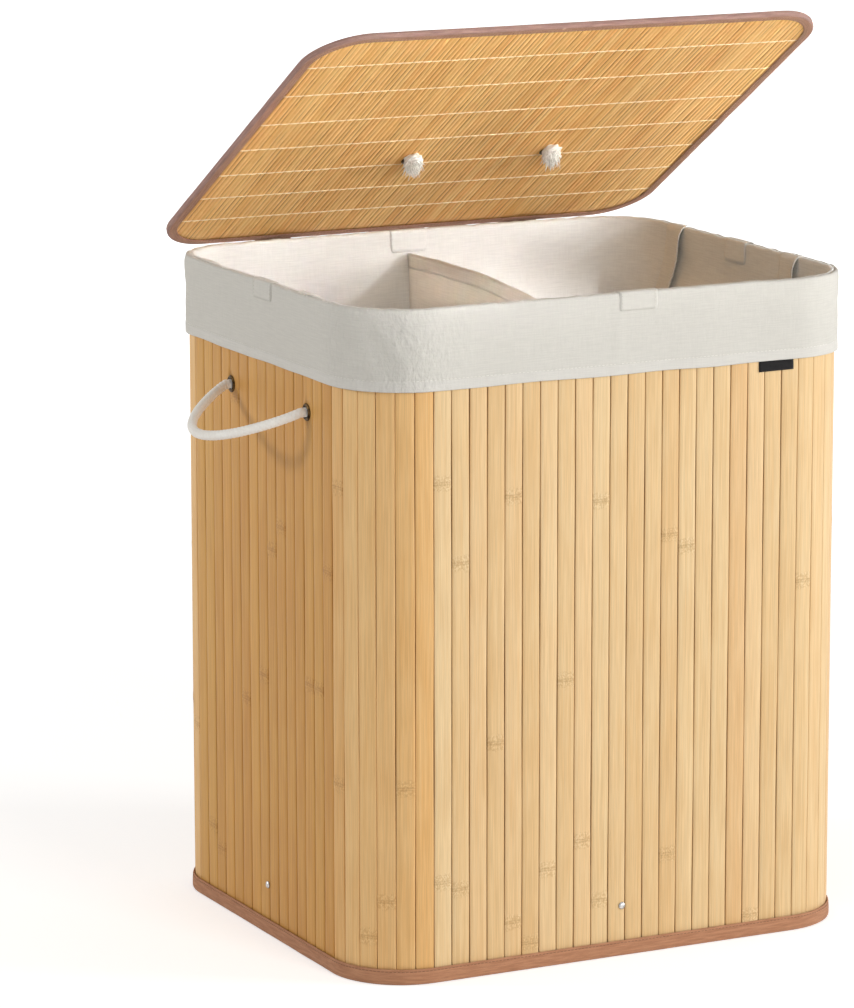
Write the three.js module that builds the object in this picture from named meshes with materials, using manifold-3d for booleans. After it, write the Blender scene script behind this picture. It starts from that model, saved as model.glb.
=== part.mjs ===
// A two-bin laundry hamper: a body of upright bamboo slats wrapped round four rounded corners, a cloth
// liner folded over the rim, a slatted lid on two strap hinges and three rope handles.
// Millimetres, +Z up. The origin is on the floor at the middle of the body and -Y is the front.

import * as THREE from "three";
import { mergeVertices } from "three/addons/utils/BufferGeometryUtils.js";
import Module from "manifold-3d";

const wasm = await Module();
wasm.setup();

// Driving dimensions of the body.
const bodyWidth = 495;
const bodyDepth = 421;
const rimHeight = 600;
const cornerRadius = 66;
const wallThickness = 3.5;
const slatPitch = 17.3;
const sideSlatPitch = 19.3;
const slatGrooveWidth = 1.6;
const slatGrooveDepth = 1.3;
const clearance = 0.3;
const cutOverrun = 2;

// Tape bindings of the body's two edges.
const topTapeThickness = 0.8;
const topTapeHeight = 22;
const footTapeOuterThickness = 1.9;
const footTapeInnerThickness = 0.8;
const footTapeUnder = 1.2;
const footTapeHeight = 14;

// Base board, its flaps and the rivets through them.
const baseThickness = 3.5;
const flapThickness = 1.8;
const flapHeight = 60;
const flapLengthShare = 0.6;
const baseRivetHeight = 46;
const frontRivetOffset = 5.5;
const sideRivetOffset = -6;
const rivetShankRadius = 1.7;
const rivetHeadRadius = 2.9;
const rivetHeadHeight = 1.5;
const rivetWasherRadius = 4;
const rivetWasherThickness = 0.9;

// Cloth liner, its skirt, divider, tabs and carrying straps.
const clothThickness = 1.1;
const skirtDrop = 72;
const rimRounding = 0.9;
const linerStraightDepth = 25;
const linerTaperDepth = 90;
const linerFaceSlack = 4.2;
const linerFoldDepth = 5;
const linerFloorRounding = 4;
const dividerThickness = 1.6;
const dividerEndDrop = 21.5;
const dividerMiddleDrop = 30;
const tabThickness = 0.9;
const tabWidth = 38;
const tabOuterDrop = 16;
const tabInnerDrop = 20;
const frontTabOffset = 17;
const leftTabOffset = -9;
const rightTabOffset = 6.5;
const strapWidth = 28;
const strapThickness = 1.5;
const strapFrontInset = 37.5;
const strapBackInset = 12.5;
const strapDrop = 125;
const strapBendDrop = 45;
const strapTopDrop = 4;
const labelWidth = 35;
const labelHeight = 9.5;
const labelThickness = 0.7;
const labelTuck = 12;
const labelCornerInset = 6;

// Rope handles, their eyelets and knots.
const ropeRadius = 4.3;
const eyeletHoleRadius = 5;
const eyeletBarrelThickness = 0.7;
const eyeletFlangeRadius = 7.8;
const eyeletFlangeThickness = 0.9;
const knotRadius = 8.4;
const knotLength = 10.5;
const knotTailLength = 4.5;
const sideEyeletDrop = 104;
const sideEyeletSpacing = 159;
const sideEyeletOffset = -15;
const sideLoopReach = 68;
const sideLoopDroopDegrees = 23;
const lidEyeletSpacing = 143;
const lidEyeletOffset = 15;
const lidEyeletFromRear = 163;
const lidLoopReach = 52;
const lidLoopLeanDegrees = 40;
const loopPinch = 1.6;

// Lid and its strap hinges.
const lidSideReach = 6.5;
const lidFrontReach = 3;
const lidRearReach = 9;
const lidCornerTightening = 14;
const lidSlatThickness = 3;
const lidSlatPitch = 9.2;
const lidGrooveWidth = 0.9;
const lidGrooveDepth = 0.6;
const lidTapeThickness = 0.7;
const lidTapeWidth = 8;
const lidEdgeThickness = 1;
const lidOpenDegrees = 31.7;
const hingeCornerInset = 33.5;
const hingeWidth = 36;
const hingeStrapThickness = 1.8;
const hingeStrapTailLength = 20.2;
const hingeStrapLidLength = 48;
const hingeStepHeight = 8;
const hingeAxisDrop = 13;
const knuckleRadius = 2.9;
const hingePinRadius = 1.3;
const knuckleShare = 1 / 3;
const hingeRivetInset = 12;

// Facet counts. A corner turns in flat steps, one to each of its slats.
const cornerSteps = Math.ceil(cornerRadius * Math.PI / 2 / slatPitch);
const roundSegments = 12;
const ropeSegments = 10;
const ropeSteps = 26;

// Offsets from the outer face of the slats, outward positive, that several pieces share.
const wallInner = -wallThickness;
const topTapeInner = wallInner - clearance - topTapeThickness;
const skirtInner = clearance + topTapeThickness + clearance;
const skirtOuter = skirtInner + clothThickness;
const bagTopOuter = topTapeInner - clearance;
const bagTopRoom = bagTopOuter - clothThickness;
const boardEdge = wallInner - clearance - footTapeInnerThickness - clearance;
const flapInner = boardEdge - flapThickness;
const eyeletOuterFace = clearance + eyeletFlangeThickness;
const knotSeat = wallInner - clearance - eyeletFlangeThickness - clearance;
const knotEnd = knotSeat - knotLength - knotTailLength;
const bagSideOuter = knotEnd - clearance;
const bagFaceOuter = flapInner - clearance - rivetWasherThickness - clearance;
const bagFaceLoose = Math.min(bagFaceOuter, bagTopOuter - linerFaceSlack);

// Lengths of the walls' straight stretches, and what is set out along them.
const straightWidth = bodyWidth - cornerRadius * 2;
const straightDepth = bodyDepth - cornerRadius * 2;
const strapSpacing = straightDepth - strapFrontInset - strapBackInset - strapWidth;
const strapOffset = (strapFrontInset - strapBackInset) / 2;
const labelOffset = straightWidth / 2 - labelCornerInset - labelWidth / 2;
const hingeSpacing = straightWidth - hingeCornerInset * 2 - hingeWidth;

// Heights that several pieces share.
const skirtBottomHeight = rimHeight - skirtDrop;
const sideEyeletHeight = rimHeight - sideEyeletDrop;
const wallBottom = footTapeUnder + clearance;
const wallTop = rimHeight - clothThickness - clearance - topTapeThickness - clearance;
const tabTop = rimHeight + clearance + tabThickness;
const bagFloorBottom = baseThickness + clearance;
const bagFloorTop = bagFloorBottom + clothThickness;
const lidBottom = tabTop + clearance;
const lidSlatBottom = lidBottom + lidTapeThickness + clearance;
const lidSlatTop = lidSlatBottom + lidSlatThickness;
const lidTop = lidSlatTop + clearance + lidTapeThickness;

// The lid's outline and the hinges' places.
const lidWidth = bodyWidth + lidSideReach * 2;
const lidDepth = bodyDepth + lidFrontReach + lidRearReach;
const lidCornerRadius = cornerRadius - lidCornerTightening;
const hingeAxisHeight = rimHeight - hingeAxisDrop;
const hingeLegTop = hingeAxisHeight - knuckleRadius - clearance * 2;
const hingeStepTop = skirtBottomHeight - clearance;
const hingeStepLow = hingeStepTop - hingeStepHeight;
const hingeLegLow = hingeStepLow - hingeStrapTailLength;
const hingeLegOuter = skirtOuter + clearance + hingeStrapThickness;
const hingeAxisOut = hingeLegOuter + knuckleRadius - hingeStrapThickness / 2;
const hingeAxisY = bodyDepth / 2 + hingeAxisOut;
const lidRearY = bodyDepth / 2 + lidRearReach;
const ropePivot = eyeletOuterFace + clearance + ropeRadius;

const bamboo = { color: 0xdfb87c, roughness: 0.55, metalness: 0 };
const lidBamboo = { color: 0xcf9c60, roughness: 0.55, metalness: 0 };
const brownTape = { color: 0xa9785a, roughness: 0.85, metalness: 0 };
const linen = { color: 0xe2dfd5, roughness: 0.95, metalness: 0 };
const dividerCloth = { color: 0xc9b8a2, roughness: 0.95, metalness: 0 };
const cotton = { color: 0xe8e0cf, roughness: 0.9, metalness: 0 };
const darkBrass = { color: 0x6b5638, roughness: 0.35, metalness: 0.9 };
const steel = { color: 0xb8b8b8, roughness: 0.3, metalness: 0.9 };
const boardCloth = { color: 0x8d7b66, roughness: 0.9, metalness: 0 };
const blackTab = { color: 0x1c1a1b, roughness: 0.8, metalness: 0 };

// A named mesh of its own material.
function part(name, geometry, look) {
  const mesh = new THREE.Mesh(geometry, new THREE.MeshStandardMaterial(look));
  mesh.name = name;
  return mesh;
}

// A geometry stripped to its positions, with shared corners merged.
function merged(geometry) {
  geometry.deleteAttribute("normal");
  geometry.deleteAttribute("uv");
  return mergeVertices(geometry);
}

function solid(geometry) {
  const clean = merged(geometry);
  const vertProperties = new Float32Array(clean.attributes.position.array);
  const triVerts = new Uint32Array(clean.index.array);
  return new wasm.Manifold(new wasm.Mesh({ numProp: 3, vertProperties, triVerts }));
}

function geometryOf(manifold) {
  const mesh = manifold.getMesh();
  const geometry = new THREE.BufferGeometry();
  geometry.setAttribute("position", new THREE.BufferAttribute(mesh.vertProperties, 3));
  geometry.setIndex(new THREE.BufferAttribute(mesh.triVerts, 1));
  return geometry;
}

// The geometry with a list of cutters taken away.
function cut(geometry, cutters) {
  return geometryOf(cutters.reduce((body, cutter) => body.subtract(solid(cutter)), solid(geometry)));
}

function joined(geometries) {
  const [first, ...rest] = geometries.map(solid);
  return geometryOf(rest.reduce((body, piece) => body.add(piece), first));
}

// A closed body from points and faces, turned so that its faces point out.
function closedGeometry(points, faces) {
  const volume = faces.reduce((sum, [a, b, c]) => {
    return sum + points[a].dot(new THREE.Vector3().crossVectors(points[b], points[c]));
  }, 0);
  const index = faces.flatMap(([a, b, c]) => (volume < 0 ? [a, c, b] : [a, b, c]));
  const geometry = new THREE.BufferGeometry().setFromPoints(points);
  geometry.setIndex(index);
  return geometry;
}

// A closed section carried along sections of equal length; an open row is capped with fans.
function loft(sections, closedRow) {
  const count = sections[0].length;
  const points = sections.flat();
  const faces = [];
  const steps = closedRow ? sections.length : sections.length - 1;
  for (let i = 0; i < steps; i += 1) {
    const next = (i + 1) % sections.length;
    for (let k = 0; k < count; k += 1) {
      const a = i * count + k;
      const b = i * count + ((k + 1) % count);
      const c = next * count + ((k + 1) % count);
      const d = next * count + k;
      faces.push([a, b, c], [a, c, d]);
    }
  }
  if (!closedRow) {
    const last = (sections.length - 1) * count;
    for (let k = 1; k < count - 1; k += 1) {
      faces.push([0, k + 1, k], [last, last + k, last + k + 1]);
    }
  }
  return closedGeometry(points, faces);
}

// Stations round a rounded rectangle: a point on the line, its outward normal, and how far along its
// straight side it lies, from 0 to 1.
function ringStations(width, depth, radius, alongWidth, alongDepth) {
  const stations = [];
  const halfX = width / 2 - radius;
  const halfY = depth / 2 - radius;
  const corners = [[1, -1], [1, 1], [-1, 1], [-1, -1]];
  corners.forEach(([sx, sy], corner) => {
    const start = (corner - 1) * Math.PI / 2;
    for (let i = 0; i <= cornerSteps; i += 1) {
      const angle = start + (i / cornerSteps) * Math.PI / 2;
      const normal = new THREE.Vector2(Math.cos(angle), Math.sin(angle));
      const centre = new THREE.Vector2(sx * halfX, sy * halfY);
      stations.push({ base: centre.addScaledVector(normal, radius), normal, alongShare: 0 });
    }
    const [nx, ny] = corners[(corner + 1) % corners.length];
    const normal = new THREE.Vector2(Math.round(Math.cos(start + Math.PI / 2)),
      Math.round(Math.sin(start + Math.PI / 2)));
    const from = new THREE.Vector2(sx * halfX, sy * halfY).addScaledVector(normal, radius);
    const to = new THREE.Vector2(nx * halfX, ny * halfY).addScaledVector(normal, radius);
    const count = corner % 2 === 0 ? alongDepth : alongWidth;
    for (let i = 1; i < count; i += 1) {
      stations.push({ base: from.clone().lerp(to, i / count), normal, alongShare: i / count });
    }
  });
  return stations;
}

// A closed outline of [offset, height] pairs carried round a rounded rectangle.
function ringSweep(outline, stations) {
  return loft(stations.map(({ base, normal }) => outline.map(([offset, height]) => {
    const at = base.clone().addScaledVector(normal, offset);
    return new THREE.Vector3(at.x, at.y, height);
  })), true);
}

// The outline of a run of slats: grooves between them on the outside, smooth on the inside.
function slatOutline(pointAt, length, count, innerSteps) {
  const step = length / count;
  const grooveWidth = slatGrooveWidth;
  const grooveDepth = slatGrooveDepth;
  const points = [pointAt(clearance / 2, -grooveDepth)];
  for (let i = 0; i < count; i += 1) {
    points.push(pointAt(i * step + grooveWidth / 2, 0));
    points.push(pointAt((i + 1) * step - grooveWidth / 2, 0));
    const end = i === count - 1 ? length - clearance / 2 : (i + 1) * step;
    points.push(pointAt(end, -grooveDepth));
  }
  for (let i = innerSteps; i >= 0; i -= 1) {
    const along = THREE.MathUtils.clamp((i / innerSteps) * length, clearance / 2, length - clearance / 2);
    points.push(pointAt(along, -wallThickness));
  }
  return points;
}

function wallExtrusion(outline) {
  const geometry = new THREE.ExtrudeGeometry(new THREE.Shape(outline), {
    depth: wallTop - wallBottom,
    bevelEnabled: false,
  });
  geometry.translate(0, 0, wallBottom);
  return merged(geometry);
}

// Each side as quarter turns of the front about +Z, its straight length, its distance out, the pitch of
// its slats and the place along it of its base rivet.
const faceWall = { length: straightWidth, half: bodyDepth / 2, pitch: slatPitch };
const endWall = { length: straightDepth, half: bodyWidth / 2, pitch: sideSlatPitch };
const sides = {
  front: { turn: 0, ...faceWall, rivetAlong: frontRivetOffset },
  right: { turn: 1, ...endWall, rivetAlong: sideRivetOffset },
  back: { turn: 2, ...faceWall, rivetAlong: 0 },
  left: { turn: 3, ...endWall, rivetAlong: -sideRivetOffset },
};

// A point beside a wall: along it from its middle, and out from its outer face.
function besideWall(side, along, out, height) {
  const { turn, half } = sides[side];
  return new THREE.Vector3(along, -half - out, height).applyAxisAngle(
    new THREE.Vector3(0, 0, 1), turn * Math.PI / 2);
}

// A group whose +X runs along the wall, +Y into the body and +Z up, with its origin on the outer face.
function onWall(side, along, height) {
  const group = new THREE.Group();
  group.position.copy(besideWall(side, along, 0, height));
  group.rotation.z = sides[side].turn * Math.PI / 2;
  return group;
}

// A round cutter through a wall.
function wallBore(side, along, height, radius) {
  const length = wallThickness + cutOverrun * 2;
  const bore = new THREE.CylinderGeometry(radius, radius, length, roundSegments);
  const middle = besideWall(side, along, wallInner / 2, height);
  bore.rotateZ(sides[side].turn % 2 === 0 ? 0 : Math.PI / 2);
  bore.translate(middle.x, middle.y, middle.z);
  return bore;
}

function straightWall(side, bores) {
  const { length, pitch } = sides[side];
  const pointAt = (along, out) => {
    const point = besideWall(side, along - length / 2, out, 0);
    return new THREE.Vector2(point.x, point.y);
  };
  const outline = slatOutline(pointAt, length, Math.max(1, Math.round(length / pitch)), 1);
  const bodies = bores.map(([along, height, radius]) => wallBore(side, along, height, radius));
  return part(`wall_${side}`, cut(wallExtrusion(outline), bodies), bamboo);
}

function cornerWall(name, signX, signY) {
  const step = Math.PI / 2 / cornerSteps;
  const facet = 2 * cornerRadius * Math.sin(step / 2);
  const startAngle = Math.atan2(signY, signX) - Math.PI / 4;
  const centre = new THREE.Vector2(signX * (bodyWidth / 2 - cornerRadius),
    signY * (bodyDepth / 2 - cornerRadius));
  const edgeAt = (index, out) => {
    const angle = startAngle + index * step;
    return new THREE.Vector2(Math.cos(angle), Math.sin(angle)).multiplyScalar(cornerRadius + out)
      .add(centre);
  };
  const pointAt = (along, out) => {
    const index = Math.min(Math.floor(along / facet), cornerSteps - 1);
    return edgeAt(index, out).lerp(edgeAt(index + 1, out), along / facet - index);
  };
  const outline = slatOutline(pointAt, facet * cornerSteps, cornerSteps, cornerSteps);
  return part(`corner_${name}`, wallExtrusion(outline), bamboo);
}

const bodyRing = ringStations(bodyWidth, bodyDepth, cornerRadius, 1, 1);

// The tape folded over the wall's top edge.
function topBinding() {
  const outerFace = clearance + topTapeThickness;
  const low = wallTop - topTapeHeight;
  const crest = wallTop + clearance + topTapeThickness;
  return part("top_binding", ringSweep([
    [outerFace, low], [outerFace, crest], [topTapeInner, crest], [topTapeInner, low],
    [wallInner - clearance, low], [wallInner - clearance, wallTop + clearance],
    [clearance, wallTop + clearance], [clearance, low],
  ], bodyRing), brownTape);
}

// The tape folded under the wall's foot, on which the hamper stands.
function bottomBinding() {
  const outerFace = clearance + footTapeOuterThickness;
  const innerFace = wallInner - clearance - footTapeInnerThickness;
  const edge = footTapeUnder / 2;
  return part("bottom_binding", ringSweep([
    [outerFace - edge, 0], [outerFace, edge], [outerFace, footTapeHeight], [clearance, footTapeHeight],
    [clearance, footTapeUnder], [wallInner - clearance, footTapeUnder],
    [wallInner - clearance, footTapeHeight], [innerFace, footTapeHeight], [innerFace, 0],
  ], bodyRing), brownTape);
}

function roundedRectangle(width, depth, radius) {
  return new THREE.Shape(ringStations(width, depth, radius, 1, 1).map(({ base }) => base));
}

// The board that keeps the body open, with a flap standing against each wall.
function baseBoard() {
  const board = new THREE.ExtrudeGeometry(roundedRectangle(bodyWidth + boardEdge * 2,
    bodyDepth + boardEdge * 2, cornerRadius + boardEdge), {
    depth: baseThickness,
    bevelEnabled: false,
  });
  const flaps = Object.entries(sides).map(([side, { length }]) => {
    const flap = new THREE.BoxGeometry(length * flapLengthShare, flapThickness, flapHeight);
    const middle = besideWall(side, 0, boardEdge - flapThickness / 2, flapHeight / 2);
    flap.rotateZ(sides[side].turn * Math.PI / 2);
    flap.translate(middle.x, middle.y, middle.z);
    return solid(flap).subtract(solid(flapBore(side)));
  });
  const body = flaps.reduce((sum, flap) => sum.add(flap), solid(board));
  return part("base_board", geometryOf(body), boardCloth);
}

// The flap's rivet hole, which reaches past both of its faces.
function flapBore(side) {
  const radius = rivetShankRadius + clearance;
  const length = flapThickness + cutOverrun * 2;
  const bore = new THREE.CylinderGeometry(radius, radius, length, roundSegments);
  const out = boardEdge - flapThickness / 2;
  const middle = besideWall(side, sides[side].rivetAlong, out, baseRivetHeight);
  bore.rotateZ(sides[side].turn % 2 === 0 ? 0 : Math.PI / 2);
  bore.translate(middle.x, middle.y, middle.z);
  return bore;
}

// A turned solid whose axis points out of the wall: pairs of [radius, distance out].
function turned(outline, segments) {
  const profile = outline.map(([radius, out]) => new THREE.Vector2(radius, -out));
  return merged(new THREE.LatheGeometry(profile, segments));
}

// The dome of a rivet's head, as shares of its radius and height.
const rivetDomeShares = [[0, 1], [0.6, 0.85], [1, 0.25]];

// A domed rivet: a head outside at the given face and a washer inside.
function rivet(name, outerFace, innerFace) {
  const head = outerFace + clearance;
  const washer = innerFace - clearance;
  return part(name, turned([
    ...rivetDomeShares.map(([r, a]) => [r * rivetHeadRadius, head + a * rivetHeadHeight]),
    [rivetHeadRadius, head],
    [rivetShankRadius, head],
    [rivetShankRadius, washer],
    [rivetWasherRadius, washer],
    [rivetWasherRadius, washer - rivetWasherThickness],
    [0, washer - rivetWasherThickness],
  ], roundSegments), steel);
}

// A ring pressed into a hole: a barrel with a flange on each face of what it goes through.
function eyelet(name, thickness) {
  const barrel = eyeletHoleRadius + eyeletBarrelThickness;
  const inner = -thickness - clearance;
  const outer = clearance;
  const outline = [
    [eyeletHoleRadius, inner - eyeletFlangeThickness],
    [eyeletFlangeRadius, inner - eyeletFlangeThickness],
    [eyeletFlangeRadius, inner],
    [barrel, inner],
    [barrel, outer],
    [eyeletFlangeRadius, outer],
    [eyeletFlangeRadius - eyeletFlangeThickness, outer + eyeletFlangeThickness],
    [eyeletHoleRadius, outer + eyeletFlangeThickness],
  ];
  outline.push(outline[0]);
  return part(name, turned(outline.reverse(), roundSegments), darkBrass);
}

const eyeletBoreRadius = eyeletHoleRadius + eyeletBarrelThickness + clearance;

// The fixed end of a rope: the stretch through the eyelet, its stopper knot and the frayed tail.
// Each row is a share of the knot's radius and a share of its length behind the seat.
const knotOutlineShares = [[0.78, 0], [1, 0.22], [0.9, 0.5], [1, 0.74], [0.62, 1]];
const knotTailShares = [[0.72, 0.7], [0.5, 1]];

function knot(name, thickness) {
  const seat = -thickness - clearance - eyeletFlangeThickness - clearance;
  const body = knotOutlineShares.map(([r, a]) => [r * knotRadius, seat - a * knotLength]);
  const tail = knotTailShares.map(([r, a]) => [r * knotRadius, seat - knotLength - a * knotTailLength]);
  const outline = [[0, eyeletOuterFace], [ropeRadius, eyeletOuterFace], [ropeRadius, seat], ...body,
    ...tail, [0, seat - knotLength - knotTailLength]];
  return part(name, turned(outline, roundSegments), cotton);
}

// The line of a rope handle between its two pivots, drawn in a little towards its tip.
class LoopCurve extends THREE.Curve {
  constructor(halfSpacing, reach) {
    super();
    this.halfSpacing = halfSpacing;
    this.reach = reach;
  }

  getPoint(share, target = new THREE.Vector3()) {
    const angle = share * Math.PI;
    const out = this.reach * Math.sin(angle) ** loopPinch;
    return target.set(-Math.cos(angle) * this.halfSpacing, -out, 0);
  }
}

// A rope loop with a ball at each end, centred on the two pivots. It lies in the plane of X and -Y.
function ropeLoop(name, spacing, reach) {
  const section = new THREE.Shape().absarc(0, 0, ropeRadius, 0, Math.PI * 2, false);
  const rope = new THREE.ExtrudeGeometry(section, {
    steps: ropeSteps,
    extrudePath: new LoopCurve(spacing / 2, reach),
    curveSegments: ropeSegments / 2,
  });
  const balls = [-1, 1].map((sign) => {
    const ball = new THREE.SphereGeometry(ropeRadius, ropeSegments, ropeSegments / 2);
    ball.translate(sign * spacing / 2, 0, 0);
    return ball;
  });
  return part(name, joined([rope, ...balls]), cotton);
}

// The rows of the liner's face that shows, from the skirt's hem over the rim to the floor. Each row has
// the offset of that face beside the front and back, the offset beside the ends, its height, how much
// of the cloth's folds it takes, and the offset and height of the hidden face behind it.
function linerRows() {
  const loose = rimHeight - linerTaperDepth;
  const straight = rimHeight - linerStraightDepth;
  const middle = (skirtBottomHeight + rimHeight) / 2;
  const crest = rimHeight - clothThickness;
  const face = bagFaceLoose - clothThickness;
  const end = bagSideOuter - clothThickness;
  const low = bagFloorTop + linerFloorRounding;
  return {
    room: [
      [skirtOuter, skirtOuter, skirtBottomHeight, 0],
      [skirtOuter, skirtOuter, middle, 0],
      [skirtOuter, skirtOuter, rimHeight - rimRounding, 0],
      [skirtOuter - rimRounding, skirtOuter - rimRounding, rimHeight, 0],
      [bagTopRoom + rimRounding, bagTopRoom + rimRounding, rimHeight, 0],
      [bagTopRoom, bagTopRoom, rimHeight - rimRounding, 0],
      [bagTopRoom, bagTopRoom, straight, 0],
      [face, end, loose, 1],
      [face, end, rimHeight / 2, 1],
      [face, end, low, 0],
      [face - linerFloorRounding, end - linerFloorRounding, bagFloorTop, 0],
    ],
    wall: [
      [bagFaceLoose - linerFloorRounding, bagSideOuter - linerFloorRounding, bagFloorBottom, 0],
      [bagFaceLoose, bagSideOuter, low - clothThickness, 0],
      [bagFaceLoose, bagSideOuter, rimHeight / 2, 1],
      [bagFaceLoose, bagSideOuter, loose, 1],
      [bagTopOuter, bagTopOuter, straight, 0],
      [bagTopOuter, bagTopOuter, crest, 0],
      [skirtInner, skirtInner, crest, 0],
      [skirtInner, skirtInner, middle, 0],
      [skirtInner, skirtInner, skirtBottomHeight, 0],
    ],
  };
}

// How far the cloth bulges in: two soft folds on each side, none at the corners or at the divider.
function foldBulge(alongShare) {
  return linerFoldDepth * (1 - Math.cos(alongShare * Math.PI * 4)) / 2;
}

// The liner in one piece: skirt, fold over the rim, bag and floor, closed by a fan at each pole.
function liner() {
  const stations = ringStations(bodyWidth, bodyDepth, cornerRadius, 8, 6);
  const { room, wall } = linerRows();
  const rows = [...room, ...wall];
  const pointOn = ([face, end, height, fold], { base, normal, alongShare }) => {
    const offset = face * normal.y ** 2 + end * normal.x ** 2 - fold * foldBulge(alongShare);
    const at = base.clone().addScaledVector(normal, offset);
    return new THREE.Vector3(at.x, at.y, height);
  };
  const points = rows.flatMap((row) => stations.map((station) => pointOn(row, station)));
  const count = stations.length;
  const faces = [];
  // Each quad is split along the same slant on both faces of the cloth, so that they stay parallel.
  const bridge = (a, b, onWallFace) => {
    for (let k = 0; k < count; k += 1) {
      const next = (k + 1) % count;
      const quad = [a * count + k, a * count + next, b * count + next, b * count + k];
      const [p, q, r, s] = onWallFace ? [...quad.slice(1), quad[0]] : quad;
      faces.push([p, q, r], [p, r, s]);
    }
  };
  for (let i = 0; i < rows.length; i += 1) {
    if (i !== room.length - 1) bridge(i, (i + 1) % rows.length, i >= room.length);
  }
  const roomPole = points.push(new THREE.Vector3(0, 0, bagFloorTop)) - 1;
  const wallPole = points.push(new THREE.Vector3(0, 0, bagFloorBottom)) - 1;
  for (let k = 0; k < count; k += 1) {
    const next = (k + 1) % count;
    faces.push([(room.length - 1) * count + k, (room.length - 1) * count + next, roomPole]);
    faces.push([room.length * count + next, room.length * count + k, wallPole]);
  }
  return part("liner", closedGeometry(points, faces), linen);
}

// The divider hangs in the middle of the width; its top edge sags between the front and the back.
function divider() {
  const { room } = linerRows();
  const [straightRow, looseRow, , lowRow, floorRow] = room.slice(6);
  const reach = ([face]) => bodyDepth / 2 + face - clearance;
  const topHeight = rimHeight - dividerEndDrop;
  const topReach = reach(straightRow);
  const outline = new THREE.Shape();
  outline.moveTo(reach(floorRow), floorRow[2] + clearance);
  outline.lineTo(reach(lowRow), lowRow[2]);
  outline.lineTo(reach(looseRow), looseRow[2]);
  outline.lineTo(topReach, straightRow[2]);
  outline.lineTo(topReach, topHeight);
  const sagHeight = rimHeight - dividerMiddleDrop * 2 + dividerEndDrop;
  outline.quadraticCurveTo(0, sagHeight, -topReach, topHeight);
  outline.lineTo(-topReach, straightRow[2]);
  outline.lineTo(-reach(looseRow), looseRow[2]);
  outline.lineTo(-reach(lowRow), lowRow[2]);
  outline.lineTo(-reach(floorRow), floorRow[2] + clearance);
  const geometry = new THREE.ExtrudeGeometry(outline, {
    depth: dividerThickness,
    bevelEnabled: false,
    curveSegments: roundSegments,
  });
  geometry.translate(0, 0, -dividerThickness / 2);
  geometry.rotateX(Math.PI / 2);
  geometry.rotateZ(Math.PI / 2);
  return part("divider", merged(geometry), dividerCloth);
}

// A cloth tab folded over the rim, drawn in the wall's own plane of [in, height].
function rimTab(side, along) {
  const outer = skirtOuter + clearance + tabThickness;
  const inner = bagTopRoom - clearance - tabThickness;
  const under = rimHeight + clearance;
  const outline = [
    [outer, rimHeight - tabOuterDrop], [outer, tabTop - rimRounding], [outer - rimRounding, tabTop],
    [inner + rimRounding, tabTop], [inner, tabTop - rimRounding], [inner, rimHeight - tabInnerDrop],
    [inner + tabThickness, rimHeight - tabInnerDrop], [inner + tabThickness, under],
    [outer - tabThickness, under], [outer - tabThickness, rimHeight - tabOuterDrop],
  ].map(([out, height]) => [-out, height]);
  const group = onWall(side, along, 0);
  group.add(part(`rim_tab_${side}`, merged(strapBody(outline, tabWidth)), linen));
  return group;
}

// How far in from the slats' outer face the end walls of the bag reach at a height, folds included.
function bagEndReach(height) {
  const straight = rimHeight - linerStraightDepth;
  const loose = rimHeight - linerTaperDepth;
  const share = THREE.MathUtils.clamp((straight - height) / (straight - loose), 0, 1);
  const end = bagSideOuter - clothThickness - linerFoldDepth;
  return THREE.MathUtils.lerp(bagTopRoom, end, share);
}

// A carrying strap of the liner: a U of webbing that hangs inside an end wall.
function carryStrap(side, sign) {
  const half = strapSpacing / 2;
  const bendTop = rimHeight - strapDrop + strapBendDrop;
  const legTop = rimHeight - strapTopDrop;
  const straight = rimHeight - linerStraightDepth;
  const loose = rimHeight - linerTaperDepth;
  const down = [legTop, straight, loose, bendTop].filter((z, i, all) => i === 0 || z < all[i - 1]);
  const line = down.map((z) => ({ y: half, z, dir: [0, -1] }));
  for (let i = 1; i < roundSegments; i += 1) {
    const angle = (i / roundSegments) * Math.PI;
    line.push({
      y: half * Math.cos(angle),
      z: bendTop - strapBendDrop * Math.sin(angle),
      dir: [-half * Math.sin(angle), -strapBendDrop * Math.cos(angle)],
    });
  }
  down.reverse().forEach((z) => line.push({ y: -half, z, dir: [0, 1] }));
  const sections = line.map(({ y, z, dir }) => {
    const across = new THREE.Vector2(-dir[1], dir[0]).normalize().multiplyScalar(strapWidth / 2);
    const corner = (way, deep) => {
      const height = z + way * across.y;
      const out = bagEndReach(Math.min(height, legTop)) - clearance - deep * strapThickness;
      const x = sign * (bodyWidth / 2 + out);
      return new THREE.Vector3(x, y + way * across.x + strapOffset, height);
    };
    return [corner(-1, 0), corner(1, 0), corner(1, 1), corner(-1, 1)];
  });
  return part(`carry_strap_${side}`, loft(sections, false), linen);
}

// A small bare tab held under the skirt's hem.
function labelTab() {
  const height = labelHeight + labelTuck;
  const geometry = new THREE.BoxGeometry(labelWidth, labelThickness, height);
  const out = clearance + labelThickness / 2;
  const middle = besideWall("front", labelOffset, out, skirtBottomHeight + labelTuck - height / 2);
  geometry.translate(middle.x, middle.y, middle.z);
  return part("label_tab", merged(geometry), blackTab);
}

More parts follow.
